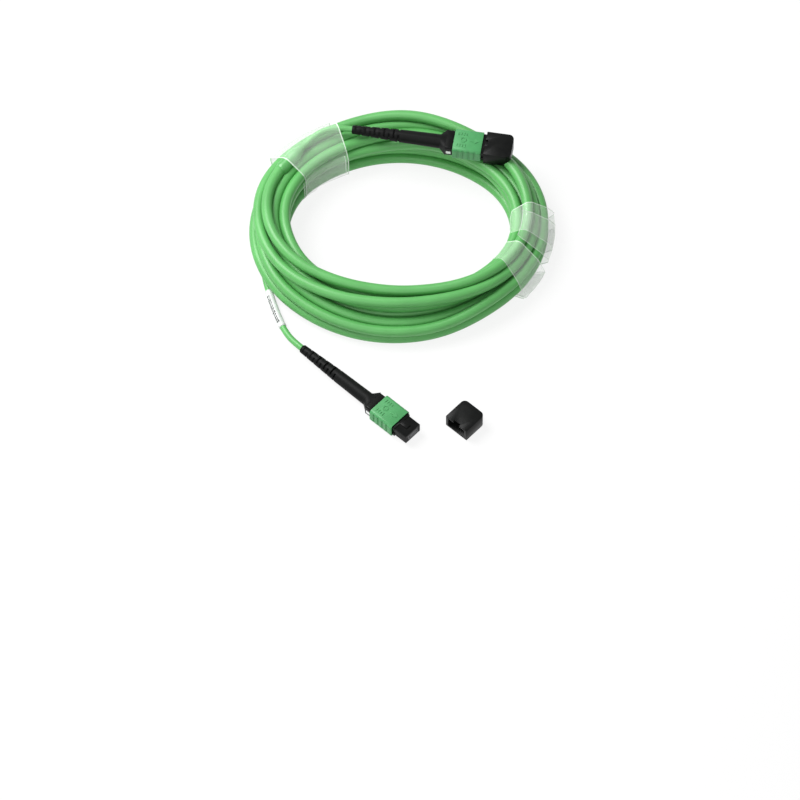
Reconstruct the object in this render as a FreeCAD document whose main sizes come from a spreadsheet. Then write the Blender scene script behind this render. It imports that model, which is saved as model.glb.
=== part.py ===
"""A 12-fibre push-pull connector on a coiled cable, with its dust cap lying beside it.

The row frame has its origin at the centre of the near plug's ferrule face, +X along the mating
direction and +Z up.  The plug lies with its coupling sleeve on the floor.  Lengths are millimetres.
Each plug is built along its own X axis, from the ferrule face back to the boot's thin end, and then
placed: the near one at the origin, the far one on top of the coil.
"""

import FreeCAD, Part
import math
import os
import Sketcher

V = FreeCAD.Vector
doc = FreeCAD.newDocument("fibre_connector")
sheet = doc.addObject("Spreadsheet::Sheet", "Sizes")

SIZES = {
    # coupling sleeve and its two springs
    "coupling_width": 12.4,
    "coupling_height": 7.7,
    "coupling_length": 13.2,
    "coupling_corner": 1.5,
    "coupling_side_wall": 0.75,
    "coupling_top_wall": 0.55,
    "grip_count": 4,
    "grip_spacing": 2.6,
    "grip_width": 1.0,
    "grip_depth": 0.35,
    "lug_length": 1.0,
    "lug_height": 1.3,
    "lug_reach": 1.65,
    "lug_root": 0.2,
    "sleeve_spring_radius": 0.5,
    "sleeve_spring_wire": 0.13,
    "sleeve_spring_turns": 6,
    "sleeve_spring_inset": 0.9,
    # inner housing
    "nose_step": 0.4,
    "nose_drop": 0.35,
    "nose_reach": 8.0,
    "nose_corner": 0.4,
    "collar_reach": 1.3,
    "collar_length": 2.8,
    "collar_notch": 2.2,
    "flange_length": 7.5,
    "key_width": 2.8,
    "key_height": 0.5,
    "key_length": 4.0,
    "mouth_depth": 6.0,
    "window_width": 3.0,
    "window_length": 1.4,
    # ferrule group
    "ferrule_width": 6.4,
    "ferrule_height": 2.5,
    "ferrule_length": 8.0,
    "ferrule_tilt": 8.0,
    "face_stock": 1.0,
    "shoulder_width": 7.0,
    "shoulder_height": 3.0,
    "shoulder_length": 1.95,
    "guide_radius": 0.35,
    "guide_spacing": 4.6,
    "spacer_length": 1.6,
    "ribbon_width": 3.0,
    "ribbon_height": 0.32,
    "ribbon_room": 0.1,
    "ferrule_boot_side": 0.2,
    "ferrule_boot_wall": 0.35,
    "ferrule_boot_length": 5.3,
    "ferrule_boot_reach": 3.0,
    "ferrule_spring_width": 6.3,
    "ferrule_spring_height": 2.9,
    "ferrule_spring_wire": 0.4,
    "ferrule_spring_turns": 5,
    # rear body, crimp and boot
    "tongue_length": 5.2,
    "nub_bite": 0.55,
    "block_width": 10.4,
    "block_height": 6.1,
    "block_length": 3.5,
    "block_corner": 0.9,
    "stub_radius": 2.15,
    "stub_bore": 1.65,
    "stub_length": 6.4,
    "crimp_wall": 0.4,
    "crimp_skirt": 3.2,
    "crimp_setback": 0.6,
    "crimp_step": 0.3,
    "boot_length": 44.1,
    "boot_flare": 3.0,
    "boot_front_radius": 3.3,
    "boot_middle_radius": 3.0,
    "boot_end_radius": 2.05,
    "boot_room": 11.0,
    "boot_room_taper": 0.8,
    "boot_room_gap": 0.24,
    "boot_lip_length": 0.4,
    "boot_lip_drop": 0.25,
    "slot_start": 1.6,
    "slot_count": 5,
    "slot_spacing": 4.4,
    "slot_width": 0.9,
    "slot_angle": 128.0,
    "slot_root_radius": 1.8,
    # dust cap
    "cap_room": 0.15,
    "cap_height": 7.4,
    "cap_length": 12.6,
    "cap_side_wall": 1.4,
    "cap_floor_wall": 0.8,
    "cap_end_wall": 1.5,
    "cap_corner": 2.4,
    "cap_notch_width": 3.6,
    "cap_notch_length": 1.2,
    # cable, coil and wraps
    "leg_diameter": 3.0,
    "trunk_diameter": 5.0,
    "label_diameter": 3.7,
    "shrink_wall": 0.6,
    "transition_length": 15.0,
    "coil_half_length": 60.0,
    "coil_half_depth": 48.5,
    "coil_end_radius": 42.0,
    "coil_width": 17.4,
    "coil_height": 18.6,
    "coil_corner": 6.0,
    "film_thickness": 0.3,
    # clearances
    "slide_room": 0.1,
    "guide_room": 0.25,
    "fit_room": 0.04,
    "rest_room": 0.3,
    "film_room": 0.05,
    # where the loose pieces lie, and how far they are turned
    "cap_ahead": 12.4,
    "cap_beside": 15.7,
    "coil_behind": 79.2,
    "coil_beside": 77.4,
    "coil_turn": 42.6,
    "far_boot_behind": 22.0,
    "far_boot_beside": 44.2,
    "far_plug_turn": 9.3,
    "leg_straight": 5.5,
    "far_leg_straight": 6.6,
    "far_wrap_headroom": 5.8,
}

# Sizes that follow from the others, and the stations along a plug's X axis.
DERIVED = {
    "sleeve_width": "coupling_width - 2 * coupling_side_wall",
    "sleeve_height": "coupling_height - 2 * coupling_top_wall",
    "guide_width": "sleeve_width - 2 * guide_room",
    "guide_height": "sleeve_height - 2 * guide_room",
    "nose_width": "guide_width - 2 * nose_step",
    "nose_height": "guide_height - 2 * nose_drop",
    "cavity_width": "shoulder_width + 3 * slide_room",
    "cavity_height": "shoulder_height + 3 * slide_room",
    "ferrule_boot_width": "ribbon_width + ribbon_room + 2 * ferrule_boot_side",
    "ferrule_boot_height": "ribbon_height + ribbon_room + 2 * ferrule_boot_wall",
    "face_lean": "ferrule_height * tan(ferrule_tilt * 1 deg)",
    "boot_bore": "0.5 * leg_diameter + fit_room",
    "boot_room_radius": "stub_radius + crimp_wall + boot_room_gap",
    "cap_inner_width": "nose_width + 2 * cap_room",
    "cap_inner_height": "nose_height + guide_room",
    "cap_width": "cap_inner_width + 2 * cap_side_wall",
    "cap_axis_height": "cap_floor_wall + 0.5 * cap_inner_height",
    "transition_radius": "0.5 * trunk_diameter + shrink_wall",
    "full_turn": "360",
    "coil_base": "film_thickness + film_room",
    "coil_top": "coil_base + coil_height",
    "collar_front": "collar_reach - nose_reach",
    "collar_back": "collar_front - collar_length",
    "sleeve_back": "-nose_reach - coupling_length",
    "lug_back": "sleeve_back + flange_length - 2 * lug_length",
    "tongue_front": "sleeve_back + tongue_length",
    "window_middle": "tongue_front - 2 * window_length",
    "block_back": "sleeve_back - block_length",
    "stub_back": "block_back - stub_length",
    "flare_back": "block_back - boot_flare",
    "boot_back": "block_back - boot_length",
    "ferrule_back": "-ferrule_length",
    "spacer_back": "ferrule_back - slide_room - spacer_length",
}

# Points of the two leg cables after their straight first runs: the near one in the row frame,
# the far one in the coil's frame with its height given from the plug's axis.
LEG_ROUTE = [
    (-80.5, 1.4, -0.3),
    (-88.5, 5.2, -1.2),
    (-98.5, 11.0, -1.93),
    (-108.0, 17.3, -1.95),
    (-113.5, 22.0, -1.95),
]
FAR_LEG_ROUTE = [(-35.6, 43.9, -0.7), (-41.2, 40.0, -1.7), (-45.3, 35.4, -2.4)]

# The leg's edges that the label sleeve covers, counted from the boot: from the first to before the last.
LABEL_FIRST, LABEL_LAST = 4, 8

# Film wraps: first and last angle round the coil in degrees, and the room left above the cable.
FILM_WRAPS = [
    ("film_wrap_right", -17, 4, "0"),
    ("film_wrap_front_right", -47, -19, "0"),
    ("film_wrap_back", 122, 152, "far_wrap_headroom"),
]

cells = {alias: str(value) for alias, value in SIZES.items()}
cells.update({alias: "=" + formula for alias, formula in DERIVED.items()})
for row, (alias, content) in enumerate(cells.items(), start=1):
    sheet.set(f"A{row}", alias)
    sheet.setAlias(f"B{row}", alias)
    sheet.set(f"B{row}", content)
doc.recompute()


def size(alias):
    """Return one dimension, read from the sheet."""
    return float(getattr(sheet, alias))


FLOOR = -size("coupling_height") / 2
NO_TURN = FreeCAD.Rotation()
QUARTER_TURN = FreeCAD.Rotation(V(0, 0, 1), 90)
COIL_CENTRE = V(-size("coil_behind"), size("coil_beside"), FLOOR)
COIL_PLACE = FreeCAD.Placement(COIL_CENTRE, FreeCAD.Rotation(V(0, 0, 1), size("coil_turn")))


def cell(formula):
    """Turn a formula in aliases, such as "nose_reach + 2", into one that reads the sheet."""
    for mark in "()*":
        formula = formula.replace(mark, f" {mark} ")
    words = formula.split()
    return " ".join(f"Sizes.{word}" if word in cells else word for word in words)


def value_of(formula):
    """Return the number that a formula in aliases gives."""
    number = 0.0
    sign = 1.0
    for word in formula.split():
        if word in "+-":
            sign = 1.0 if word == "+" else -1.0
            continue
        factor = 1.0
        for part in word.split("*"):
            factor *= size(part) if part in cells else float(part)
        number += sign * factor
    return number


# ---------------------------------------------------------------- sketch and feature helpers
SAME = 1e-4
ARC_SHARE = 0.45
STEPS_PER_TURN = 12


def origin_feature(body, role):
    """Return one of a body's origin planes or axes."""
    return next(item for item in body.Origin.OriginFeatures if item.Role == role)


def heading_at(angle):
    """Return the horizontal unit vector at an angle in radians."""
    return V(math.cos(angle), math.sin(angle), 0)


def keep(label, shape, place=None):
    """Store a shape as an object of the document."""
    feature = doc.addObject("Part::Feature", label)
    feature.Label = label
    feature.Shape = shape
    if place is not None:
        feature.Placement = place
    return feature


def new_body(label):
    """Make an empty body whose label is its file name."""
    body = doc.addObject("PartDesign::Body", label)
    body.Label = label
    return body


def sketch_on(body, role, name, shift=("0", "0", "0")):
    """Attach a sketch to one of the body's origin planes, shifted by three formulas."""
    sketch = body.newObject("Sketcher::SketchObject", name)
    sketch.AttachmentSupport = [(origin_feature(body, role), "")]
    sketch.MapMode = "FlatFace"
    for axis, formula in zip("xyz", shift):
        if formula != "0":
            sketch.setExpression(f"AttachmentOffset.Base.{axis}", cell(formula))
    return sketch


def outline(sketch, points):
    """Draw a closed polygon through points given as pairs of formulas, each corner dimensioned."""
    values = [(value_of(across), value_of(up)) for across, up in points]
    count = len(points)
    for index in range(count):
        start, end = values[index], values[(index + 1) % count]
        sketch.addGeometry(Part.LineSegment(V(*start, 0), V(*end, 0)), False)
    for index in range(count):
        sketch.addConstraint(Sketcher.Constraint("Coincident", index, 2, (index + 1) % count, 1))
    for index, (across, up) in enumerate(points):
        for kind, formula, number in (("X", across, values[index][0]), ("Y", up, values[index][1])):
            item = sketch.addConstraint(
                Sketcher.Constraint(f"Distance{kind}", -1, 1, index, 1, number)
            )
            sketch.setExpression(f"Constraints[{item}]", cell(formula))


def rectangle(sketch, width, height):
    """Draw a rectangle centred on the sketch's origin from two formulas."""
    half_w, half_h = value_of(width) / 2, value_of(height) / 2
    signs = ((-1, -1), (1, -1), (1, 1), (-1, 1))
    corners = [V(across * half_w, up * half_h, 0) for across, up in signs]
    for index in range(4):
        sketch.addGeometry(Part.LineSegment(corners[index], corners[(index + 1) % 4]), False)
    for index in range(4):
        sketch.addConstraint(Sketcher.Constraint("Coincident", index, 2, (index + 1) % 4, 1))
    for index, kind in enumerate(("Horizontal", "Vertical", "Horizontal", "Vertical")):
        sketch.addConstraint(Sketcher.Constraint(kind, index))
    sketch.addConstraint(Sketcher.Constraint("Symmetric", 0, 1, 1, 2, -1, 1))
    across = sketch.addConstraint(Sketcher.Constraint("DistanceX", 0, 1, 0, 2, 2 * half_w))
    up = sketch.addConstraint(Sketcher.Constraint("DistanceY", 1, 1, 1, 2, 2 * half_h))
    sketch.setExpression(f"Constraints[{across}]", cell(width))
    sketch.setExpression(f"Constraints[{up}]", cell(height))


def circle(sketch, radius, centre=("0", "0")):
    """Draw a circle from a radius formula and a pair of centre formulas."""
    middle = V(value_of(centre[0]), value_of(centre[1]), 0)
    item = sketch.addGeometry(Part.Circle(middle, V(0, 0, 1), value_of(radius)), False)
    tie = sketch.addConstraint(Sketcher.Constraint("Radius", item, value_of(radius)))
    sketch.setExpression(f"Constraints[{tie}]", cell(radius))
    for kind, formula, number in (("X", centre[0], middle.x), ("Y", centre[1], middle.y)):
        place = sketch.addConstraint(
            Sketcher.Constraint(f"Distance{kind}", -1, 1, item, 3, number)
        )
        if formula != "0":
            sketch.setExpression(f"Constraints[{place}]", cell(formula))


def grow(body, sketch, length, name):
    """Pad a sketch along its normal."""
    pad = body.newObject("PartDesign::Pad", name)
    pad.Profile = sketch
    pad.setExpression("Length", cell(length))
    pad.Refine = True
    doc.recompute()
    return pad


def cut(body, sketch, length, name, both=False):
    """Pocket a sketch along its normal, or to both sides, and make sure that it removed material."""
    before = body.Shape.Volume
    pocket = body.newObject("PartDesign::Pocket", name)
    pocket.Profile = sketch
    pocket.Midplane = both
    pocket.Reversed = not both
    pocket.setExpression("Length", cell(length))
    doc.recompute()
    if not body.Shape.Volume < before - 1e-6:
        raise ValueError(f"{body.Label}: {name} cuts nothing")
    return pocket


def block(body, name, start, length, width, height, middle=("0", "0")):
    """Add a box from start forwards along X, its section centred at middle (Y, Z)."""
    sketch = sketch_on(body, "YZ_Plane", name + "_section", (middle[0], middle[1], start))
    rectangle(sketch, width, height)
    return grow(body, sketch, length, name)


def hollow(body, name, start, length, width, height, middle=("0", "0")):
    """Remove a box from start forwards along X, its section centred at middle (Y, Z)."""
    sketch = sketch_on(body, "YZ_Plane", name + "_section", (middle[0], middle[1], start))
    rectangle(sketch, width, height)
    return cut(body, sketch, length, name)


def edges_where(feature, test):
    """List the names of a feature's edges whose two end points pass a test."""
    names = []
    for index, edge in enumerate(feature.Shape.Edges, start=1):
        if len(edge.Vertexes) == 2 and test(edge.Vertexes[0].Point, edge.Vertexes[1].Point):
            names.append(f"Edge{index}")
    return names


def soften(body, kind, amount, test, name):
    """Fillet or chamfer the tip's edges that pass a test."""
    base = body.Tip
    dressing = body.newObject(f"PartDesign::{kind}", name)
    dressing.Base = (base, edges_where(base, test))
    dressing.setExpression("Radius" if kind == "Fillet" else "Size", cell(amount))
    doc.recompute()
    return dressing


def repeat(body, feature, role, length, count, name):
    """Repeat a feature along one of the body's axes and make the pattern the tip."""
    pattern = body.newObject("PartDesign::LinearPattern", name)
    pattern.Originals = [feature]
    pattern.Direction = (origin_feature(body, role), [""])
    pattern.setExpression("Length", cell(length))
    pattern.setExpression("Occurrences", cell(count))
    body.Tip = pattern
    doc.recompute()
    return pattern


def turn(body, sketch, kind, angle, name):
    """Revolve a sketch about the body's X axis, symmetric about its plane."""
    feature = body.newObject(f"PartDesign::{kind}", name)
    feature.Profile = sketch
    feature.ReferenceAxis = (origin_feature(body, "X_Axis"), [""])
    feature.Midplane = True
    feature.setExpression("Angle", cell(angle))
    doc.recompute()
    return feature


def along_x_at(half_width, half_height):
    """Return a test for edges that run along X at a section's four corners."""

    def test(a, b):
        straight = abs(a.y - b.y) < SAME and abs(a.z - b.z) < SAME and abs(a.x - b.x) > SAME
        return straight and abs(abs(a.y) - half_width) < SAME and abs(abs(a.z) - half_height) < SAME

    return test


# ---------------------------------------------------------------- the plug's pieces
# Right and left are those of someone who faces the ferrule: right is +Y.
SIDES = (("right", 1), ("left", -1))


def on_side(side, formula):
    """Return a length formula with the sign of a side, for a single product of aliases."""
    return formula if side > 0 else "0 - " + formula


def inner_housing(label):
    """The black nose with its key, the collar in the sleeve's mouth and the flange behind."""
    body = new_body(label)
    block(body, "nose", "sleeve_back", "nose_reach + coupling_length", "nose_width", "nose_height")
    corner = along_x_at(size("nose_width") / 2, size("nose_height") / 2)
    soften(body, "Fillet", "nose_corner", corner, "nose_corners")
    block(body, "flange", "sleeve_back", "flange_length", "guide_width", "guide_height")
    block(body, "collar", "collar_back", "collar_length", "guide_width", "guide_height")
    on_top = ("0", "0.5*nose_height")
    block(body, "key", "collar_front", "key_length", "key_width", "2*key_height", on_top)
    depth = "nose_reach + coupling_length - mouth_depth"
    hollow(body, "cavity", "sleeve_back", depth, "cavity_width", "cavity_height")
    mouth = ("ferrule_width + 2*slide_room", "ferrule_height + 2*slide_room")
    hollow(body, "mouth", "0 - mouth_depth", "mouth_depth", *mouth)
    groove_start = "sleeve_back + lug_length"
    groove_length = "flange_length - 2*lug_length + fit_room"
    groove = ("2*coupling_side_wall + 2*lug_reach + 2*slide_room", "lug_height + 2*slide_room")
    notch = ("coupling_width - nose_width", "collar_notch")
    for name, side in SIDES:
        edge = (on_side(side, "0.5*coupling_width"), "0")
        hollow(body, f"{name}_spring_groove", groove_start, groove_length, *groove, edge)
        hollow(body, f"{name}_latch_notch", "collar_back", "collar_length", *notch, edge)
    window = sketch_on(body, "XY_Plane", "window_section", ("window_middle", "0", "0"))
    rectangle(window, "window_length", "window_width")
    cut(body, window, "coupling_height", "latch_windows", both=True)
    return body


def coupling_sleeve(label):
    """The green sleeve: an open rectangular tube, two inside lugs and grip grooves on its sides."""
    body = new_body(label)
    block(body, "sleeve", "sleeve_back", "coupling_length", "coupling_width", "coupling_height")
    corner = along_x_at(size("coupling_width") / 2, size("coupling_height") / 2)
    soften(body, "Fillet", "coupling_corner", corner, "sleeve_corners")
    hollow(body, "passage", "sleeve_back", "coupling_length", "sleeve_width", "sleeve_height")
    for name, side in SIDES:
        middle = ("0.5*sleeve_width - 0.5*lug_reach", "0 - 0.5*sleeve_width + 0.5*lug_reach")[side < 0]
        lug = ("lug_reach + lug_root", "lug_height")
        block(body, f"{name}_lug", "lug_back", "lug_length", *lug, (middle, "0"))
    first = "sleeve_back + 0.5*coupling_length - 1.5*grip_spacing"
    row = "grip_spacing * (grip_count - 1)"
    for name, side in SIDES:
        face = on_side(-side, "0.5*coupling_width")
        plan = sketch_on(body, "XZ_Plane", f"{name}_grip_section", (first, "0", face))
        rectangle(plan, "grip_width", "coupling_height")
        groove = cut(body, plan, "2*grip_depth", f"{name}_grip", both=True)
        repeat(body, groove, "X_Axis", row, "grip_count", f"{name}_grips")
    return body


def sleeve_spring(label):
    """One small coil spring on the plug's axis, as long as the groove between its wall and the lug."""
    body = new_body(label)
    start = "sleeve_back + lug_length + sleeve_spring_wire + fit_room"
    plan = sketch_on(body, "XZ_Plane", "wire_section", (start, "0", "0"))
    circle(plan, "sleeve_spring_wire", ("0", "sleeve_spring_radius"))
    doc.recompute()
    helix = body.newObject("PartDesign::AdditiveHelix", "turns")
    helix.Profile = plan
    helix.ReferenceAxis = (origin_feature(body, "X_Axis"), [""])
    helix.Mode = "height-turns-growth"
    helix.Growth = 0
    height = "flange_length - 3*lug_length - 2*sleeve_spring_wire - 2*fit_room"
    helix.setExpression("Height", cell(height))
    helix.setExpression("Turns", cell("sleeve_spring_turns"))
    doc.recompute()
    return body


def mt_ferrule(label):
    """The ferrule: a block with a shoulder, an angled front face, two guide holes and a rear pocket."""
    body = new_body(label)
    stem_length = "ferrule_length + face_stock"
    block(body, "stem", "ferrule_back", stem_length, "ferrule_width", "ferrule_height")
    shoulder = ("shoulder_length", "shoulder_width", "shoulder_height")
    block(body, "shoulder", "ferrule_back", *shoulder)
    front = sketch_on(body, "XZ_Plane", "angled_face_section")
    outline(front, [
        ("face_lean", "0 - ferrule_height"),
        ("2*face_stock", "0 - ferrule_height"),
        ("2*face_stock", "ferrule_height"),
        ("0 - face_lean", "ferrule_height"),
    ])
    cut(body, front, "2*ferrule_width", "angled_face", both=True)
    pocket = ("ferrule_boot_width + slide_room", "ferrule_boot_height + slide_room")
    hollow(body, "rear_pocket", "ferrule_back", "ferrule_boot_reach + slide_room", *pocket)
    guides = sketch_on(body, "YZ_Plane", "guide_section", ("0", "0", "ferrule_back"))
    for _, side in SIDES:
        circle(guides, "guide_radius", (on_side(side, "0.5*guide_spacing"), "0"))
    cut(body, guides, stem_length, "guide_holes")
    return body


def ferrule_spacer(label):
    """The spacer plate behind the ferrule, open in the middle for the ferrule boot."""
    body = new_body(label)
    plate = ("shoulder_width - slide_room", "shoulder_height - slide_room")
    block(body, "plate", "spacer_back", "spacer_length", *plate)
    slot = ("ferrule_boot_width + slide_room", "ferrule_boot_height + slide_room")
    hollow(body, "ribbon_slot", "spacer_back", "spacer_length", *slot)
    return body


def ferrule_boot(label):
    """The small soft sleeve that guides the ribbon into the ferrule."""
    body = new_body(label)
    start = "ferrule_back + ferrule_boot_reach - ferrule_boot_length"
    outside = ("ferrule_boot_width", "ferrule_boot_height")
    block(body, "sleeve", start, "ferrule_boot_length", *outside)
    slot = ("ribbon_width + ribbon_room", "ribbon_height + ribbon_room")
    hollow(body, "ribbon_slot", start, "ferrule_boot_length", *slot)
    return body


def ferrule_spring(label):
    """The oval coil spring between the spacer and the rear body's tongue."""
    wire = size("ferrule_spring_wire") / 2
    half_width = size("ferrule_spring_width") / 2 - wire
    half_height = size("ferrule_spring_height") / 2 - wire
    back = size("tongue_front") + size("fit_room") + wire
    front = size("spacer_back") - size("fit_room") - wire
    steps = int(size("ferrule_spring_turns")) * STEPS_PER_TURN
    points = []
    for step in range(steps + 1):
        angle = 2 * math.pi * step / STEPS_PER_TURN
        along = back + (front - back) * step / steps
        points.append(V(along, half_width * math.cos(angle), half_height * math.sin(angle)))
    curve = Part.BSplineCurve()
    curve.interpolate(points)
    path = Part.Wire([curve.toShape()])
    heading = curve.tangent(curve.FirstParameter)[0]
    ring = Part.Wire([Part.Circle(points[0], heading, wire).toShape()])
    return keep(label, path.makePipeShell([ring], True, True))


def rear_body(label):
    """The push body: a hollow tongue inside the housing, the block behind it and the crimp stub."""
    body = new_body(label)
    block(body, "block", "block_back", "block_length", "block_width", "block_height")
    corner = along_x_at(size("block_width") / 2, size("block_height") / 2)
    soften(body, "Fillet", "block_corner", corner, "block_corners")
    tongue = ("cavity_width - slide_room", "cavity_height - slide_room")
    block(body, "tongue", "sleeve_back", "tongue_length", *tongue)
    nub = sketch_on(body, "XY_Plane", "nub_section", ("window_middle", "0", "0"))
    rectangle(nub, "window_length - 2*slide_room", "window_width - 2*slide_room")
    nubs = grow(body, nub, "cavity_height + 2*nub_bite", "latch_nubs")
    nubs.Midplane = True
    stub = sketch_on(body, "YZ_Plane", "stub_section", ("0", "0", "stub_back"))
    circle(stub, "stub_radius")
    grow(body, stub, "stub_length", "stub")
    bore = sketch_on(body, "YZ_Plane", "bore_section", ("0", "0", "stub_back"))
    circle(bore, "stub_bore")
    cut(body, bore, "stub_length + block_length", "fibre_bore")
    passage = ("ferrule_boot_width", "ferrule_boot_height + 2*guide_room")
    hollow(body, "tongue_bore", "sleeve_back", "tongue_length", *passage)
    return body


def crimp_ring(label):
    """The metal ring: a wide part on the stub and a narrow skirt on the cable's jacket."""
    body = new_body(label)
    inner = "stub_radius + fit_room"
    front = "block_back - crimp_setback"
    step = "stub_back - crimp_step"
    back = "stub_back - crimp_skirt"
    plan = sketch_on(body, "XZ_Plane", "ring_section")
    outline(plan, [
        (back, "boot_bore"),
        (step, "boot_bore"),
        (step, inner),
        (front, inner),
        (front, inner + " + crimp_wall"),
        ("stub_back", inner + " + crimp_wall"),
        (step + " - crimp_setback", "boot_bore + crimp_wall"),
        (back, "boot_bore + crimp_wall"),
    ])
    turn(body, plan, "Revolution", "full_turn", "ring")
    return body


def strain_boot(label):
    """The flexible boot: a flared front, a long taper and staggered slots towards the cable."""
    body = new_body(label)
    room_end = "block_back - boot_room"
    plan = sketch_on(body, "XZ_Plane", "taper_section")
    outline(plan, [
        ("boot_back", "boot_bore"),
        (room_end + " - boot_room_taper", "boot_bore"),
        (room_end, "boot_room_radius"),
        ("flare_back", "boot_room_radius"),
        ("flare_back", "boot_front_radius"),
        ("boot_back + 0.5*boot_length", "boot_middle_radius"),
        ("boot_back + boot_lip_length", "boot_end_radius"),
        ("boot_back", "boot_end_radius - boot_lip_drop"),
    ])
    turn(body, plan, "Revolution", "full_turn", "taper")
    narrow = sketch_on(body, "YZ_Plane", "flare_back_section", ("0", "0", "flare_back"))
    circle(narrow, "boot_front_radius")
    wide = sketch_on(body, "YZ_Plane", "flare_front_section", ("0", "0", "block_back"))
    rectangle(wide, "block_width", "block_height")
    doc.recompute()
    flare = body.newObject("PartDesign::AdditiveLoft", "flare")
    flare.Profile = narrow
    flare.Sections = [wide]
    flare.Ruled = True
    doc.recompute()
    mouth = sketch_on(body, "YZ_Plane", "mouth_section", ("0", "0", "flare_back"))
    circle(mouth, "boot_room_radius")
    cut(body, mouth, "boot_flare", "mouth")
    row = "slot_spacing * (slot_count - 1)"
    for role, stagger in (("XZ_Plane", ""), ("XY_Plane", " + 0.5*slot_spacing")):
        back = "boot_back + slot_start" + stagger
        front = back + " + slot_width"
        for name, side in SIDES:
            name = f"{role[:2].lower()}_{name}_slot"
            slot = sketch_on(body, role, name + "_section")
            near, far = on_side(side, "slot_root_radius"), on_side(side, "boot_front_radius")
            outline(slot, [(back, near), (front, near), (front, far), (back, far)])
            groove = turn(body, slot, "Groove", "slot_angle", name)
            repeat(body, groove, "X_Axis", row, "slot_count", name + "_row")
    return body


def fibre_ribbon(label):
    """The ribbon of fibres from the cable's end to inside the ferrule boot."""
    body = new_body(label)
    length = "stub_length + block_length + coupling_length"
    block(body, "ribbon", "stub_back", length, "ribbon_width", "ribbon_height")
    return body


def gripped_cable(label):
    """The stretch of the leg cable that the crimp ring and the boot hold."""
    body = new_body(label)
    end = sketch_on(body, "YZ_Plane", "jacket_section", ("0", "0", "boot_back"))
    circle(end, "0.5*leg_diameter")
    grow(body, end, "boot_length - stub_length", "jacket")
    return body


def dust_cap(label):
    """The cap: one open end, thick top wall with a key groove, and a notch in its lip."""
    body = new_body(label)
    middle = ("0", "0.5*cap_height - cap_floor_wall - 0.5*cap_inner_height")
    block(body, "shell", "0", "cap_length", "cap_width", "cap_height", middle)
    half, end = size("cap_width") / 2, size("cap_length")

    def closed_end(a, b):
        upright = abs(a.x - b.x) < SAME and abs(a.y - b.y) < SAME
        return upright and abs(a.x - end) < SAME and abs(abs(a.y) - half) < SAME

    soften(body, "Fillet", "cap_corner", closed_end, "end_corners")
    depth = "cap_length - cap_end_wall"
    hollow(body, "inside", "0", depth, "cap_inner_width", "cap_inner_height")
    key_room = ("key_width + 2*guide_room", "key_height + guide_room")
    over_nose = ("0", "0.5*nose_height + 0.5*key_height")
    hollow(body, "key_groove", "0", "nose_reach", *key_room, over_nose)
    over_lip = ("0", "0.5*nose_height + cap_height")
    hollow(body, "lip_notch", "0", "cap_notch_length", "cap_notch_width", "2*cap_height", over_lip)
    return body


def plug(prefix, place):
    """Build every piece of one plug and put it in its place."""
    makers = (
        inner_housing, coupling_sleeve, mt_ferrule, ferrule_spacer, ferrule_boot, ferrule_spring,
        rear_body, crimp_ring, strain_boot, fibre_ribbon, gripped_cable,
    )
    pieces = [maker(prefix + maker.__name__) for maker in makers]
    for piece in pieces:
        piece.Placement = place
    offset = size("sleeve_width") / 2 - size("sleeve_spring_inset")
    for name, side in SIDES:
        spring = sleeve_spring(f"{prefix}sleeve_spring_{name}")
        spring.Placement = place.multiply(FreeCAD.Placement(V(0, side * offset, 0), NO_TURN))
        pieces.append(spring)
    return pieces


# ---------------------------------------------------------------- cables
def route_edges(points, label):
    """Join straight runs by tangent arcs; each arc is as large as its two runs allow."""
    edges = []
    here = points[0]
    radii = []
    for before, corner, after in zip(points, points[1:], points[2:]):
        inward = (corner - before).normalize()
        outward = (after - corner).normalize()
        setback = ARC_SHARE * min((corner - before).Length, (after - corner).Length)
        half_turn = inward.getAngle(outward) / 2
        radii.append(setback / math.tan(half_turn))
        start, end = corner - inward * setback, corner + outward * setback
        sagitta = radii[-1] * (1 / math.cos(half_turn) - 1)
        middle = corner + (outward - inward).normalize() * sagitta
        edges.append(Part.LineSegment(here, start).toShape())
        edges.append(Part.Arc(start, middle, end).toShape())
        here = end
    edges.append(Part.LineSegment(here, points[-1]).toShape())
    print(label, "bend radii:", " ".join(f"{radius:.1f}" for radius in radii))
    return edges


def tube(edges, outer, label, inner=0.0):
    """Sweep a round section along edges and compare its volume with section times length."""
    path = Part.Wire(edges)
    start = edges[0].valueAt(edges[0].FirstParameter)
    heading = edges[0].tangentAt(edges[0].FirstParameter)
    solid = None
    for radius in (outer / 2, inner / 2):
        if radius > 0:
            ring = Part.Wire([Part.Circle(start, heading, radius).toShape()])
            swept = path.makePipeShell([ring], True, False)
            solid = swept if solid is None else solid.cut(swept)
    expected = math.pi * (outer**2 - inner**2) / 4 * path.Length
    print(label, f"length {path.Length:.1f} volume ratio {solid.Volume / expected:.4f}")
    return keep(label, solid)


def transition(label, start, heading):
    """The shrink sleeve where a leg joins the trunk."""
    length, radius = size("transition_length"), size("transition_radius")
    return keep(label, Part.makeCylinder(radius, length, start, heading))


def oval_edges():
    """Return the coil's centreline: two end arcs and two side arcs, tangent to each other."""
    length, depth = size("coil_half_length"), size("coil_half_depth")
    end_radius = size("coil_end_radius")
    shift = length - end_radius
    rise = depth - end_radius
    side_radius = end_radius + (shift**2 + rise**2) / (2 * rise)
    drop = side_radius - depth
    lean = math.atan2(drop, shift)
    half = math.pi

    def arc(centre, radius, first, last):
        turns = (first, (first + last) / 2, last)
        return Part.Arc(*(centre + heading_at(turn) * radius for turn in turns)).toShape()

    return [
        arc(V(shift, 0, 0), end_radius, -lean, lean),
        arc(V(0, -drop, 0), side_radius, lean, half - lean),
        arc(V(-shift, 0, 0), end_radius, half - lean, half + lean),
        arc(V(0, drop, 0), side_radius, half + lean, 2 * half - lean),
    ]


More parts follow.
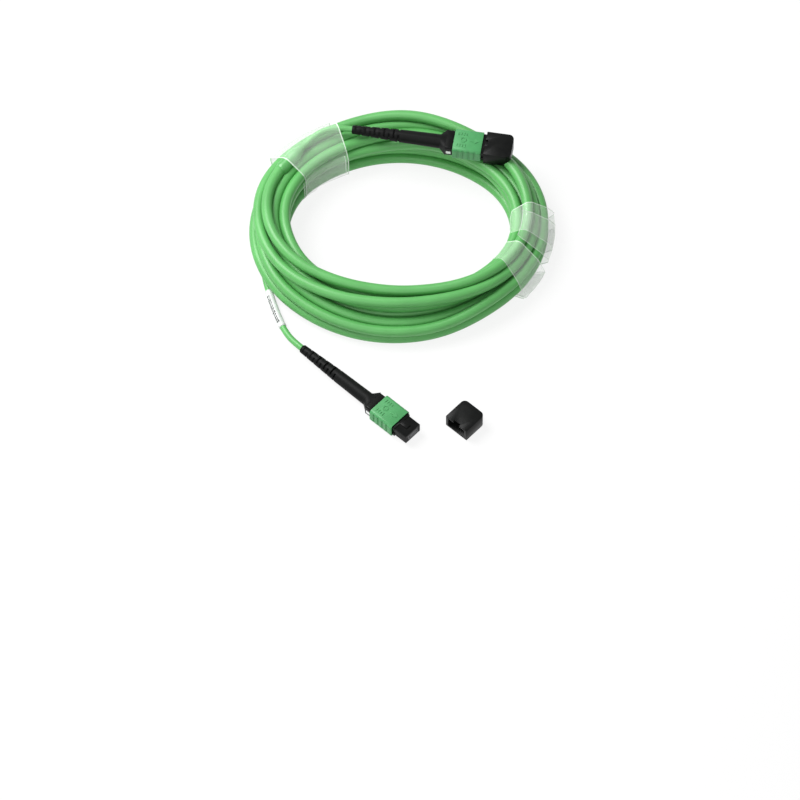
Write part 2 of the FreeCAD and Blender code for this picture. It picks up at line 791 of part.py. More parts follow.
def oval_ring(low, high, half_width, corner):
    """Sweep an upright rounded section round the coil's oval, between two heights."""
    edges = oval_edges()
    start = edges[0].valueAt(edges[0].FirstParameter)
    heading = edges[0].tangentAt(edges[0].FirstParameter)
    outward = heading.cross(V(0, 0, 1))
    corners = ((-half_width, low), (half_width, low), (half_width, high), (-half_width, high))
    flat = Part.Face(Part.makePolygon([V(x, z, 0) for x, z in corners + corners[:1]]))
    solid = flat.extrude(V(0, 0, 1))
    uprights = [edge for edge in solid.Edges if abs(edge.Vertexes[0].Z - edge.Vertexes[-1].Z) > 0.5]
    rounded = solid.makeFillet(corner, uprights)
    section = next(face for face in rounded.Faces if abs(face.CenterOfMass.z) < SAME).OuterWire
    matrix = FreeCAD.Matrix(
        outward.x, 0, heading.x, start.x,
        outward.y, 0, heading.y, start.y,
        outward.z, 1, heading.z, 0,
        0, 0, 0, 1,
    )
    return Part.Wire(edges).makePipeShell([section.transformed(matrix)], True, False)


def trunk_coil():
    """The closed outer shape of the coiled trunk cable."""
    half, corner = size("coil_width") / 2, size("coil_corner")
    return keep("trunk_coil", oval_ring(size("coil_base"), size("coil_top"), half, corner), COIL_PLACE)


def film_wrap(label, first, last, headroom):
    """A band of film round the bundle over a range of angles, in degrees from the oval's +X end."""
    film, gap = size("film_thickness"), size("film_room")
    half, top = size("coil_width") / 2 + gap, size("coil_top") + value_of(headroom) + gap
    corner = size("coil_corner")
    outer = oval_ring(0, top + film, half + film, corner)
    inner = oval_ring(film, top, half, corner - film)
    reach = 3 * size("coil_half_length")
    ends = [heading_at(math.radians(angle)) * reach for angle in (first, last)]
    slice_plan = Part.Face(Part.makePolygon([V(), ends[0], ends[1], V()]))
    wedge = slice_plan.extrude(V(0, 0, 2 * top))
    return keep(label, outer.cut(inner).common(wedge), COIL_PLACE)


# ---------------------------------------------------------------- the whole object
parts = plug("", FreeCAD.Placement())

far_turn = FreeCAD.Rotation(V(0, 0, 1), -size("far_plug_turn"))
far_axis_height = size("coil_top") + size("rest_room") + size("coupling_height") / 2
far_boot_end = V(-size("far_boot_behind"), size("far_boot_beside"), far_axis_height)
far_origin = far_boot_end - far_turn.multVec(V(size("boot_back"), 0, 0))
far_place = COIL_PLACE.multiply(FreeCAD.Placement(far_origin, far_turn))
parts += plug("far_", far_place)

lying_cap = dust_cap("dust_cap")
cap_height = FLOOR + size("cap_axis_height")
lying_cap.Placement = FreeCAD.Placement(V(size("cap_ahead"), size("cap_beside"), cap_height), QUARTER_TURN)
fitted_cap = dust_cap("far_dust_cap")
seat = FreeCAD.Placement(V(size("collar_front") + size("slide_room"), 0, 0), NO_TURN)
fitted_cap.Placement = far_place.multiply(seat)
parts += [lying_cap, fitted_cap]

boot_end = size("boot_back")
leg = [V(boot_end, 0, 0), V(boot_end - size("leg_straight"), 0, 0)] + [V(*point) for point in LEG_ROUTE]
leg_edges = route_edges(leg, "leg_cable")
parts.append(tube(leg_edges, size("leg_diameter"), "leg_cable"))
label_bore = size("leg_diameter") + 2 * size("fit_room")
parts.append(tube(leg_edges[LABEL_FIRST:LABEL_LAST], size("label_diameter"), "label_sleeve", label_bore))
sleeve_height = FLOOR + size("transition_radius") + size("film_room")
sleeve_start = V(leg[-1].x, leg[-1].y, sleeve_height)
parts.append(transition("transition_sleeve", sleeve_start, leg[-1] - leg[-2]))

far_leg = [far_boot_end, far_boot_end - far_turn.multVec(V(size("far_leg_straight"), 0, 0))]
far_leg += [V(x, y, far_axis_height + drop) for x, y, drop in FAR_LEG_ROUTE]
far_leg = [COIL_PLACE.multVec(point) for point in far_leg]
parts.append(tube(route_edges(far_leg, "far_leg_cable"), size("leg_diameter"), "far_leg_cable"))
parts.append(transition("far_transition_sleeve", far_leg[-1], far_leg[-1] - far_leg[-2]))

parts.append(trunk_coil())
parts += [film_wrap(*wrap) for wrap in FILM_WRAPS]

# ---------------------------------------------------------------- checks and files
doc.recompute()
for item in doc.Objects:
    if "Invalid" in item.State or "Error" in item.State:
        raise ValueError(f"{item.Name} of {item.InList}: {item.State}")
os.makedirs("parts", exist_ok=True)
for part in parts:
    shape = part.Shape
    if shape.isNull() or not shape.isValid() or len(shape.Solids) != 1:
        raise ValueError(f"{part.Label}: bad shape with {len(shape.Solids)} solids")
    box = shape.BoundBox
    print(f"{part.Label:24s} {shape.Volume:10.2f} z {box.ZMin:7.2f} {box.ZMax:7.2f}")
for part in parts:
    part.Shape.exportStep(f"parts/{part.Label}.step")
print(len(parts), "parts written")
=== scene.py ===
"""Looks of a push-pull fibre connector on a coiled cable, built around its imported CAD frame.

Lengths are metres in the row frame: the near plug's ferrule face is the origin, +X is the mating
direction and +Z is up.  The coil has axes of its own: u along the oval, v towards its back, w up.
"""

import logging
import math
from dataclasses import dataclass
from enum import Enum
from typing import Callable, Sequence

import bmesh
import bpy
import numpy as np
from mathutils import Matrix, Vector

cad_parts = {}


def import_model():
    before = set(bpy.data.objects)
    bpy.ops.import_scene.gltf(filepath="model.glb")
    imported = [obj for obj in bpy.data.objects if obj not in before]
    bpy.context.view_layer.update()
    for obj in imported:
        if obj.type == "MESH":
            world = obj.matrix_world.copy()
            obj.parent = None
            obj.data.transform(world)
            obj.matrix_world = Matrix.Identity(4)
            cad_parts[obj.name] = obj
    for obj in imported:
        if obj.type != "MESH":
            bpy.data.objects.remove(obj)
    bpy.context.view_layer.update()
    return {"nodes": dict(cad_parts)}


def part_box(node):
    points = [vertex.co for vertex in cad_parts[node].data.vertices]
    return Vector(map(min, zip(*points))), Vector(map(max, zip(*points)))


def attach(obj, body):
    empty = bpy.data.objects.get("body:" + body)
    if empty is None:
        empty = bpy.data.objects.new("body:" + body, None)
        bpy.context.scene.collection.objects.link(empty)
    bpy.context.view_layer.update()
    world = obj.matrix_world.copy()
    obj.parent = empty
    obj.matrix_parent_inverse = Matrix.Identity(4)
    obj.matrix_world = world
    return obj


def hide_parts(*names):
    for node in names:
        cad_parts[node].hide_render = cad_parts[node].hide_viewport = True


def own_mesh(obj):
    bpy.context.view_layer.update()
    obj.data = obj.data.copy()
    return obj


log = logging.getLogger("fibre_connector")

MM = 0.001
UP = Vector((0, 0, 1))
TINY = 1e-9
FLOOR = -3.85 * MM
NEAR_BODY = "plug"
SEED = 11

LEG_DIAMETER = 3.0 * MM
TRUNK_DIAMETER = 5.0 * MM
SHRINK_RADIUS = 3.1 * MM
SHRINK_LENGTH = 15.0 * MM
FAR_PLUG_TURN = math.radians(-9.3)
FERRULE_TRAVEL = 0.8 * MM
SLEEVE_TRAVEL = 1.8 * MM
FERRULE_TILT = math.radians(8)

# How finely cords, sleeves and rounded edges are divided.
CORD_BEVEL_STEPS = 6
LEG_STEPS = 12
TRUNK_STEPS = 4
SLEEVE_SIDES = 32
ROUNDING_STEPS = 2
MERGE_DISTANCE = 1e-6
FLAT_ANGLE = math.radians(0.6)
SHARP_ANGLE = math.radians(40)

Point = tuple[float, float, float]
FlatPoint = tuple[float, float]


class Slot(Enum):
    """Material slots that are handed along with the new pieces; nothing in this script reads them.
    """

    JACKET = "cable_jacket"
    SHRINK = "shrink_green"
    LABEL = "label_white"
    FILM = "film"
    BLACK = "black_plastic"
    GREEN = "green_plastic"
    SOFT_BLACK = "soft_black"
    STEEL = "spring_steel"
    FIBRE = "fibre"


# ---------------------------------------------------------------- places
@dataclass(frozen=True)
class CoilAxes:
    """The coil's own axes in the row frame."""

    centre: Point = (-79.2 * MM, 77.4 * MM, FLOOR)
    turn: float = math.radians(42.6)

    def matrix(self) -> Matrix:
        """Return the matrix from the coil's axes to the row frame."""
        return Matrix.Translation(self.centre) @ Matrix.Rotation(self.turn, 4, "Z")

    def place(self, points: Sequence[Sequence[float]]) -> list[Vector]:
        """Return points of the coil's axes in the row frame."""
        matrix = self.matrix()
        return [matrix @ Vector(point) for point in points]


@dataclass(frozen=True)
class Oval:
    """The coil's centreline: two end arcs and two flatter side arcs, tangent to each other."""

    half_length: float = 60.0 * MM
    half_depth: float = 48.5 * MM
    end_radius: float = 42.0 * MM

    def at(self, angle: float) -> tuple[Vector, Vector]:
        """Find where a ray from the centre crosses the oval.

        Args:
            angle: the ray's direction in radians, from +u towards +v.

        Returns:
            The crossing and the outward normal there, both flat in the coil's axes.
        """
        shift = self.half_length - self.end_radius
        rise = self.half_depth - self.end_radius
        side_radius = self.end_radius + (shift**2 + rise**2) / (2 * rise)
        drop = side_radius - self.half_depth
        ray = Vector((math.cos(angle), math.sin(angle), 0))
        lean = math.atan2(drop, shift)
        for centre, radius, middle, reach in (
            (Vector((shift, 0, 0)), self.end_radius, 0.0, lean),
            (Vector((0, -drop, 0)), side_radius, math.pi / 2, math.pi / 2 - lean),
            (Vector((-shift, 0, 0)), self.end_radius, math.pi, lean),
            (Vector((0, drop, 0)), side_radius, -math.pi / 2, math.pi / 2 - lean),
        ):
            along = ray.dot(centre)
            distance = along + math.sqrt(along**2 - centre.length_squared + radius**2)
            normal = (ray * distance - centre).normalized()
            bearing = math.atan2(normal.y, normal.x) - middle
            if abs(math.remainder(bearing, 2 * math.pi)) <= reach + TINY:
                return ray * distance, normal
        raise ValueError(f"no arc at {angle}")


COIL = CoilAxes()
OVAL = Oval()


def bundle_point(angle: float, offset: float, height: float) -> Vector:
    """Give the point at an angle round the coil, so far out from the oval and up from the floor.

    Args:
        angle: degrees from the coil's +u end.
        offset: millimetres outwards.
        height: millimetres up.

    Returns:
        The point in the coil's axes, in metres.
    """
    centre, outward = OVAL.at(math.radians(float(angle)))
    return centre + outward * float(offset) * MM + Vector((0, 0, float(height) * MM))


def smooth_step(share: np.ndarray) -> np.ndarray:
    """Ease a share between 0 and 1 in and out, as a column."""
    share = np.clip(share, 0, 1)
    return (share * share * (3 - 2 * share))[:, None]


# ---------------------------------------------------------------- finishes
@dataclass(frozen=True)
class Finish:
    """One procedural finish: a base colour with faint mottling, and a fine bump.

    The grain is the bump's height in millimetres.
    """

    name: str
    colour: tuple[float, float, float]
    roughness: float = 0.5
    mottle: float = 0.06
    mottle_scale: float = 220.0
    mottle_detail: float = 3.0
    grain: float = 0.02
    grain_scale: float = 2600.0
    grain_detail: float = 2.0
    metallic: float = 0.0
    coat: float = 0.0
    specular: float = 0.5
    coat_roughness: float = 0.25
    gloss_spread: float = 0.06
    bump_strength: float = 0.25
    mottle_stops: FlatPoint = (0.35, 0.65)

    def build(self) -> bpy.types.Material:
        """Make the material from noise on Object coordinates.

        Returns:
            The material, whose colour and gloss follow a soft mottling and whose bump is finer.
        """
        material, tree, shader = start_material(self.name)
        shader.inputs["Metallic"].default_value = self.metallic
        shader.inputs["Coat Weight"].default_value = self.coat
        shader.inputs["Coat Roughness"].default_value = self.coat_roughness
        shader.inputs["Specular IOR Level"].default_value = self.specular
        place = tree.nodes.new("ShaderNodeTexCoord").outputs["Object"]
        cloud = noise(tree, place, self.mottle_scale, self.mottle_detail)
        ramp = tree.nodes.new("ShaderNodeValToRGB")
        elements = ramp.color_ramp.elements
        for element, stop, change in zip(elements, self.mottle_stops, (-self.mottle, self.mottle)):
            element.position = stop
            element.color = (*(min(1.0, channel * (1 + change)) for channel in self.colour), 1)
        tree.links.new(cloud.outputs["Fac"], ramp.inputs["Fac"])
        tree.links.new(ramp.outputs["Color"], shader.inputs["Base Color"])
        vary_gloss(tree, shader, cloud, self.roughness, self.gloss_spread)
        fine = noise(tree, place, self.grain_scale, self.grain_detail)
        raise_grain(tree, shader, fine, self.bump_strength, self.grain * MM)
        return material


@dataclass(frozen=True)
class FilmFinish:
    """Clear wrapping film: thin, slightly milky, and whiter where an edge is rolled; its pale green
    tint is painted green light from the strands under it.
    """

    name: str
    cover: float
    # The pale green tint is painted light: the green that the strands under the film throw through
    # it.
    colour: tuple[float, float, float] = (0.90, 1.0, 0.90)
    roughness: float = 0.22
    gloss_spread: float = 0.1
    coat: float = 0.2
    crease_scale: float = 500.0
    crease_detail: float = 4.0
    bump_strength: float = 0.3
    bump_depth: float = 0.15 * MM

    def build(self) -> bpy.types.Material:
        """Make the see-through material.

        Returns:
            The material, whose gloss and bump follow the film's fine creases.
        """
        material, tree, shader = start_material(self.name)
        shader.inputs["Base Color"].default_value = (*self.colour, 1)
        shader.inputs["Alpha"].default_value = self.cover
        shader.inputs["Coat Weight"].default_value = self.coat
        place = tree.nodes.new("ShaderNodeTexCoord").outputs["Object"]
        crease = noise(tree, place, self.crease_scale, self.crease_detail)
        vary_gloss(tree, shader, crease, self.roughness, self.gloss_spread)
        raise_grain(tree, shader, crease, self.bump_strength, self.bump_depth)
        return material


def start_material(name: str) -> tuple[bpy.types.Material, bpy.types.NodeTree, bpy.types.Node]:
    """Start a material.

    Args:
        name: the material's name.

    Returns:
        The material, its node tree and its Principled shader.
    """
    material = bpy.data.materials.new(name)
    material.use_nodes = True
    tree = material.node_tree
    return material, tree, tree.nodes["Principled BSDF"]


def noise(
    tree: bpy.types.NodeTree, coordinates: bpy.types.NodeSocket, scale: float, detail: float
) -> bpy.types.Node:
    """Add a noise texture.

    Args:
        tree: the material's node tree.
        coordinates: the socket that the texture is read at.
        scale: how fine the noise is.
        detail: how many finer layers it has.

    Returns:
        The texture's node.
    """
    texture = tree.nodes.new("ShaderNodeTexNoise")
    texture.inputs["Scale"].default_value = scale
    texture.inputs["Detail"].default_value = detail
    tree.links.new(coordinates, texture.inputs["Vector"])
    return texture


def vary_gloss(
    tree: bpy.types.NodeTree,
    shader: bpy.types.Node,
    texture: bpy.types.Node,
    roughness: float,
    spread: float,
) -> None:
    """Let the shader's roughness follow a texture.

    Args:
        tree: the material's node tree.
        shader: the shader that it feeds.
        texture: the noise that it follows.
        roughness: the middle value.
        spread: how far it goes to either side.
    """
    gloss = tree.nodes.new("ShaderNodeMapRange")
    gloss.inputs["To Min"].default_value = roughness - spread
    gloss.inputs["To Max"].default_value = roughness + spread
    tree.links.new(texture.outputs["Fac"], gloss.inputs["Value"])
    tree.links.new(gloss.outputs["Result"], shader.inputs["Roughness"])


def raise_grain(
    tree: bpy.types.NodeTree,
    shader: bpy.types.Node,
    texture: bpy.types.Node,
    strength: float,
    depth: float,
) -> None:
    """Let a texture raise a fine bump on the surface.

    Args:
        tree: the material's node tree.
        shader: the shader that it feeds.
        texture: the noise that gives the height.
        strength: how strongly the bump tilts the surface.
        depth: the bump's height in metres.
    """
    bump = tree.nodes.new("ShaderNodeBump")
    bump.inputs["Strength"].default_value = strength
    bump.inputs["Distance"].default_value = depth
    tree.links.new(texture.outputs["Fac"], bump.inputs["Height"])
    tree.links.new(bump.outputs["Normal"], shader.inputs["Normal"])


JACKET = Finish(
    "green_jacket", (0.100, 0.385, 0.100), 0.42, mottle=0.05, mottle_scale=90, grain=0.03
)
SLEEVE_GREEN = Finish(
    "green_moulding", (0.064, 0.300, 0.100), 0.42, mottle=0.05, mottle_scale=400, specular=0.4
)
BLACK = Finish(
    "black_moulding", (0.004, 0.0045, 0.0042), 0.33, mottle=0.2, mottle_scale=500, specular=0.11
)
RUBBER = Finish(
    "black_rubber",
    (0.0045, 0.005, 0.0048),
    mottle=0.2,
    mottle_scale=500,
    grain=0.04,
    specular=0.1,
)
RESIN = Finish("ferrule_resin", (0.055, 0.055, 0.058), 0.3, mottle=0.1, mottle_scale=900)
STEEL = Finish("spring_steel", (0.62, 0.61, 0.59), 0.28, mottle=0.05, metallic=1.0)
CRIMP = Finish("crimp_metal", (0.66, 0.62, 0.55), 0.32, mottle=0.08, metallic=1.0)
FIBRE = Finish("bare_fibre", (0.55, 0.72, 0.75), 0.25, mottle=0.1, mottle_scale=1500)
SHRINK = Finish("green_shrink", (0.095, 0.38, 0.10), 0.36, mottle_scale=300, coat=0.2)
LABEL = Finish("label_plastic", (0.62, 0.65, 0.63), 0.32, mottle_scale=600, coat=0.3)
PRINT = Finish("print_grey", (0.03, 0.033, 0.033), 0.6)
WHITE_INK = Finish("white_ink", (0.82, 0.83, 0.83), mottle=0.03)

FILM = FilmFinish("clear_film", 0.125)
FILM_EDGE = FilmFinish("film_edge", 0.5)


class Paints:
    """Builds each finish once and hands it out."""

    def __init__(self) -> None:
        """Start with no material made."""
        self.made: dict[str, bpy.types.Material] = {}

    def get(self, finish: Finish | FilmFinish) -> bpy.types.Material:
        """Hand out a finish's material, made at the first call.

        Args:
            finish: the finish that is wanted.

        Returns:
            Its material.
        """
        if finish.name not in self.made:
            self.made[finish.name] = finish.build()
        return self.made[finish.name]


PAINTS = Paints()


# ---------------------------------------------------------------- mesh helpers
def link(name: str, data: bpy.types.ID) -> bpy.types.Object:
    """Put new data in the scene.

    Args:
        name: the object's name.
        data: its mesh, curve, camera or light.

    Returns:
        The object, at the origin.
    """
    thing = bpy.data.objects.new(name, data)
    bpy.context.scene.collection.objects.link(thing)
    return thing


def mesh_object(
    name: str, verts: Sequence, faces: Sequence, smooth: bool = True
) -> bpy.types.Object:
    """Make a mesh object.

    Args:
        name: the object's name.
        verts: its points in metres.
        faces: the points' numbers of each face.
        smooth: whether it is shaded smooth.

    Returns:
        The object, at the origin.
    """
    mesh = bpy.data.meshes.new(name)
    mesh.from_pydata([tuple(v) for v in verts], [], [tuple(f) for f in faces])
    mesh.validate()
    for polygon in mesh.polygons:
        polygon.use_smooth = smooth
    return link(name, mesh)


def object_from(name: str, mesh: bmesh.types.BMesh) -> bpy.types.Object:
    """Turn a bmesh into an object, and free it.

    Args:
        name: the object's name.
        mesh: the bmesh, which is used up.

    Returns:
        The object, at the origin.
    """
    data = bpy.data.meshes.new(name)
    mesh.to_mesh(data)
    mesh.free()
    return link(name, data)


def evaluated_mesh(thing: bpy.types.Object) -> bpy.types.Mesh:
    """Read an object's evaluated shape.

    Args:
        thing: a mesh or curve object, with or without modifiers.

    Returns:
        The shape as a new plain mesh.
    """
    bpy.context.view_layer.update()
    evaluated = thing.evaluated_get(bpy.context.evaluated_depsgraph_get())
    return bpy.data.meshes.new_from_object(evaluated)


def freeze(thing: bpy.types.Object) -> None:
    """Make an object's evaluated shape its own plain mesh, with no modifiers.

    Args:
        thing: the mesh object.
    """
    mesh = evaluated_mesh(thing)
    thing.modifiers.clear()
    thing.data = mesh


def round_edges(thing: bpy.types.Object, width: float, limit: float = 30.0) -> None:
    """Round an object's sharp edges for good.

    Args:
        thing: the mesh object.
        width: the width of the rounding.
        limit: the angle in degrees from which an edge counts as sharp.
    """
    bevel = thing.modifiers.new("rounding", "BEVEL")
    bevel.width = width
    bevel.segments = ROUNDING_STEPS
    bevel.limit_method = "ANGLE"
    bevel.angle_limit = math.radians(limit)
    freeze(thing)


def shade_smooth(thing: bpy.types.Object) -> None:
    """Shade a mesh smooth, but for its sharp edges.

    Args:
        thing: the mesh object.
    """
    for polygon in thing.data.polygons:
        polygon.use_smooth = True
    thing.data.set_sharp_from_angle(angle=SHARP_ANGLE)


def recalculate(thing: bpy.types.Object) -> None:
    """Turn all faces outwards.

    Args:
        thing: the mesh object.
    """
    mesh = bmesh.new()
    mesh.from_mesh(thing.data)
    bmesh.ops.recalc_face_normals(mesh, faces=mesh.faces)
    mesh.to_mesh(thing.data)
    mesh.free()


def paint(thing: bpy.types.Object, finish: Finish | FilmFinish) -> None:
    """Give an object one finish."""
    thing.data.materials.clear()
    thing.data.materials.append(PAINTS.get(finish))


def nurbs_curve(name: str, control: Sequence[Vector], steps: int) -> bpy.types.Curve:
    """Make a curve of one smooth open spline.

    Args:
        name: the curve's name.
        control: the spline's control points.
        steps: how finely each stretch is divided.

    Returns:
        The curve's data.
    """
    curve = bpy.data.curves.new(name, "CURVE")
    curve.dimensions = "3D"
    curve.resolution_u = steps
    spline = curve.splines.new("NURBS")
    spline.points.add(len(control) - 1)
    for knot, point in zip(spline.points, control):
        knot.co = (*point, 1)
    spline.order_u = 3
    spline.use_endpoint_u = True
    return curve


def spline_points(control: Sequence[Vector], steps: int = LEG_STEPS) -> np.ndarray:
    """Read points along the smooth line that a cord's control points give.

    Args:
        control: the control points.
        steps: how finely each stretch is divided.

    Returns:
        The points, one in each row.
    """
    curve = nurbs_curve("reading", control, steps)
    thing = link("reading", curve)
    mesh = evaluated_mesh(thing)
    points = np.array([vertex.co for vertex in mesh.vertices])
    bpy.data.objects.remove(thing)
    bpy.data.meshes.remove(mesh)
    bpy.data.curves.remove(curve)
    return points


def cord_piece(
    name: str, control: Sequence[Vector], diameter: float, steps: int
) -> bpy.types.Object:
    """Make a round cord along its own smooth spline.

    Args:
        name: the piece's name.
        control: the spline's control points.
        diameter: the cord's diameter.
        steps: how finely each stretch is divided.

    Returns:
        The curve object.
    """
    curve = nurbs_curve(name, control, steps)
    curve.bevel_depth = diameter / 2
    curve.bevel_resolution = CORD_BEVEL_STEPS
    curve.use_fill_caps = True
    return link(name, curve)


def tube_along(
    name: str, line: np.ndarray, radius: Callable[[float], float], around: int = SLEEVE_SIDES
) -> bpy.types.Object:
    """Loft a closed round body along a line.

    Args:
        name: the new object's name.
        line: the points of the line.
        radius: gives the radius at a share of the length, 0 to 1.
        around: the number of points round each ring.

    Returns:
        The mesh object, with a UV map whose u runs along the line and v round it.
    """
    run = run_along(line)
    share = run / run[-1]
    verts, faces, uvs = [], [], []
    for index, point in enumerate(line):
        ahead = Vector(line[min(index + 1, len(line) - 1)] - line[max(index - 1, 0)]).normalized()
        side, above = across_axes(ahead)
        for turn in range(around):
            angle = 2 * math.pi * turn / around
            offset = (side * math.cos(angle) + above * math.sin(angle)) * radius(share[index])
            verts.append(Vector(point) + offset)
    for ring in range(len(line) - 1):
        for turn in range(around):
            after = (turn + 1) % around
            a, b = ring * around, (ring + 1) * around
            faces.append((a + turn, a + after, b + after, b + turn))
            low, high = turn / around, (turn + 1) / around
            uvs += [(share[ring], low), (share[ring], high)]
            uvs += [(share[ring + 1], high), (share[ring + 1], low)]
    faces.append(tuple(reversed(range(around))))
    faces.append(tuple(range(len(verts) - around, len(verts))))
    uvs += [(0.0, 0.0)] * around + [(1.0, 0.0)] * around
    body = mesh_object(name, verts, faces)
    layer = body.data.uv_layers.new(name="UVMap")
    layer.data.foreach_set("uv", np.array(uvs, np.float32).ravel())
    recalculate(body)
    return body


def run_along(line: np.ndarray) -> np.ndarray:
    """Return how far along a line each of its points is."""
    return np.concatenate([[0], np.cumsum(np.linalg.norm(np.diff(line, axis=0), axis=1))])


def across_axes(ahead: Vector) -> tuple[Vector, Vector]:
    """Return the level direction across a heading, and the one above it."""
    side = ahead.cross(UP).normalized()
    return side, side.cross(ahead)


def merged_node(node: str) -> bmesh.types.BMesh:
    """Copy a CAD node's triangles as one joined mesh.

    Args:
        node: the CAD node's name.

    Returns:
        The bmesh, with its doubles merged.
    """
    mesh = bmesh.new()
    mesh.from_mesh(FRAME["nodes"][node].data)
    bmesh.ops.remove_doubles(mesh, verts=mesh.verts, dist=MERGE_DISTANCE)
    return mesh


def softened(name: str, node: str, width: float, limit: float = 32.0) -> bpy.types.Object:
    """Copy a CAD node and round its sharp edges.

    Args:
        name: the new piece's name.
        node: the CAD node that it is made from.
        width: the width of the rounding.
        limit: the angle in degrees from which an edge counts as sharp.

    Returns:
        The mesh object, rounded and shaded smooth, with its sharp faces kept flat.
    """
    mesh = merged_node(node)
    bmesh.ops.dissolve_limit(mesh, angle_limit=FLAT_ANGLE, verts=mesh.verts, edges=mesh.edges)
    thing = object_from(name, mesh)
    round_edges(thing, width, limit)
    shade_smooth(thing)
    return thing


def add_walls(
    mesh: bmesh.types.BMesh,
    low: Sequence[bmesh.types.BMVert],
    high: Sequence[bmesh.types.BMVert],
) -> None:
    """Join two loops of points with a closed band of faces.

    Args:
        mesh: the bmesh that holds the points.
        low: the points of one loop.
        high: the points of the other, in the same order.
    """
    for index in range(len(low)):
        after = (index + 1) % len(low)
        mesh.faces.new((low[index], low[after], high[after], high[index]))


def add_prism(mesh: bmesh.types.BMesh, low: Sequence[Point], high: Sequence[Point]) -> None:
    """Add a closed prism between two outlines.

    Args:
        mesh: the bmesh that it is added to.
        low: the corners of one end.
        high: the corners of the other, in the same order.
    """
    ends = [[mesh.verts.new(corner) for corner in outline] for outline in (low, high)]
    for end in ends:
        mesh.faces.new(end)
    add_walls(mesh, *ends)


def place_piece(piece: bpy.types.Object, body: str, slot: Slot, *nodes: str) -> None:
    """Report a finished piece.

    Args:
        piece: the piece.
        body: the CAD body that it rides on.
        slot: a material slot; it is not used.
        nodes: the CAD nodes that it stands for.
    """
    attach(piece, body)
    if nodes:
        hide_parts(*nodes)
    log.info("built %s", piece.name)


class NodeTree:
    """A geometry node tree with named inputs that ends in plain, painted geometry."""

    def __init__(self, name: str) -> None:
        """Start the tree.

        Args:
            name: the tree's name.
        """
        self.tree = bpy.data.node_groups.new(name, "GeometryNodeTree")
        self.links = self.tree.links
        self.interface = self.tree.interface
        self.interface.new_socket("Geometry", in_out="OUTPUT", socket_type="NodeSocketGeometry")
        self.entry = self.tree.nodes.new("NodeGroupInput")
        self.identifiers: dict[str, str] = {}

    def input(self, name: str, kind: str) -> bpy.types.NodeSocket:
        """Add a named input.

        Args:
            name: the input's name.
            kind: the socket's type.

        Returns:
            The input's socket inside the tree.
        """
        item = self.interface.new_socket(name, in_out="INPUT", socket_type=kind)
        self.identifiers[name] = item.identifier
        return self.entry.outputs[name]

    def add(self, kind: str, **inputs: object) -> bpy.types.Node:
        """Add a node.

        Args:
            kind: the node's type.
            inputs: what feeds its inputs, each a socket or a value.

        Returns:
            The node.
        """
        node = self.tree.nodes.new(kind)
        for name, value in inputs.items():
            socket = node.inputs[name.replace("_", " ")]
            if isinstance(value, bpy.types.NodeSocket):
                self.links.new(value, socket)
            else:
                socket.default_value = value
        return node

    def finish(self, instances: bpy.types.NodeSocket, material: bpy.types.NodeSocket) -> None:
        """Realise the copies, set their material and lead them out.

        Args:
            instances: the socket that gives the copies.
            material: the socket that gives their material.
        """
        real = self.add("GeometryNodeRealizeInstances", Geometry=instances)
        painted = self.add(
            "GeometryNodeSetMaterial", Geometry=real.outputs[0], Material=material
        )
        way_out = self.tree.nodes.new("NodeGroupOutput")
        self.links.new(painted.outputs[0], way_out.inputs[0])

    def apply(self, thing: bpy.types.Object, values: dict[str, object]) -> None:
        """Run the tree on an object and keep the result as its plain mesh.

        Args:
            thing: the mesh object that the tree starts from.
            values: the value of each named input but the geometry.
        """
        modifier = thing.modifiers.new(self.tree.name, "NODES")
        modifier.node_group = self.tree
        for name, value in values.items():
            modifier[self.identifiers[name]] = value
        freeze(thing)


# ---------------------------------------------------------------- the coiled trunk
# Where the turns lie along the coil's front, as (outwards, up) in millimetres from the oval and
# the floor.
FRONT_LAY = (
    (3.9, 2.85), (-1.1, 2.85), (-6.1, 2.85), (-1.0, 7.4), (8.9, 2.85), (9.2, 7.2),
    (4.2, 7.6), (-5.9, 7.4), (-6.9, 12.0), (-2.0, 12.1), (-1.9, 17.0), (-7.6, 16.9),
)
# One such table for each angle round the coil in degrees, with the turns in the order of
# winding.  The first table has the cord's last end too.
LAY = {
    182.4: (
        (4.6, 3.15), (-0.9, 2.85), (-6.0, 2.85), (-3.6, 7.2), (1.4, 7.2), (6.0, 7.9), (3.9, 12.1),
        (-1.2, 11.5), (-6.2, 11.5), (-4.6, 15.9), (1.2, 15.8), (6.1, 16.4), (1.8, 20.1),
    ),
    137.0: (
        (3.8, 2.85), (-1.2, 2.85), (-6.2, 2.85), (-3.8, 7.2), (1.2, 7.2), (6.2, 7.2),
        (3.8, 11.5), (-1.2, 11.5), (-6.2, 11.5), (-3.8, 15.8), (1.2, 15.8), (6.2, 15.8),
    ),
    -5.0: (
        (3.8, 2.85), (-1.2, 2.85), (-6.2, 2.85), (-3.7, 7.2), (6.3, 7.2), (3.8, 11.5),
        (1.3, 7.2), (-6.2, 11.5), (-3.7, 15.8), (-1.2, 11.5), (1.3, 15.8), (-1.2, 20.1),
    ),
    -30.0: (
        (3.8, 2.85), (-1.2, 2.85), (-6.2, 2.85), (-3.7, 7.2), (6.3, 7.2), (3.8, 11.5),
        (1.3, 7.2), (-6.2, 11.5), (-3.7, 15.8), (-1.2, 11.5), (1.3, 15.8), (-1.2, 20.1),
    ),
    -78.0: FRONT_LAY,
    -102.0: FRONT_LAY,
    -135.0: (
        (3.0, 2.85), (-2.2, 2.85), (-6.0, 4.2), (0.0, 7.4), (8.6, 3.2), (8.2, 8.5),
        (3.9, 9.9), (-4.9, 8.3), (-6.0, 13.0), (-1.0, 12.9), (0.4, 17.8), (-5.5, 17.8),
    ),
}


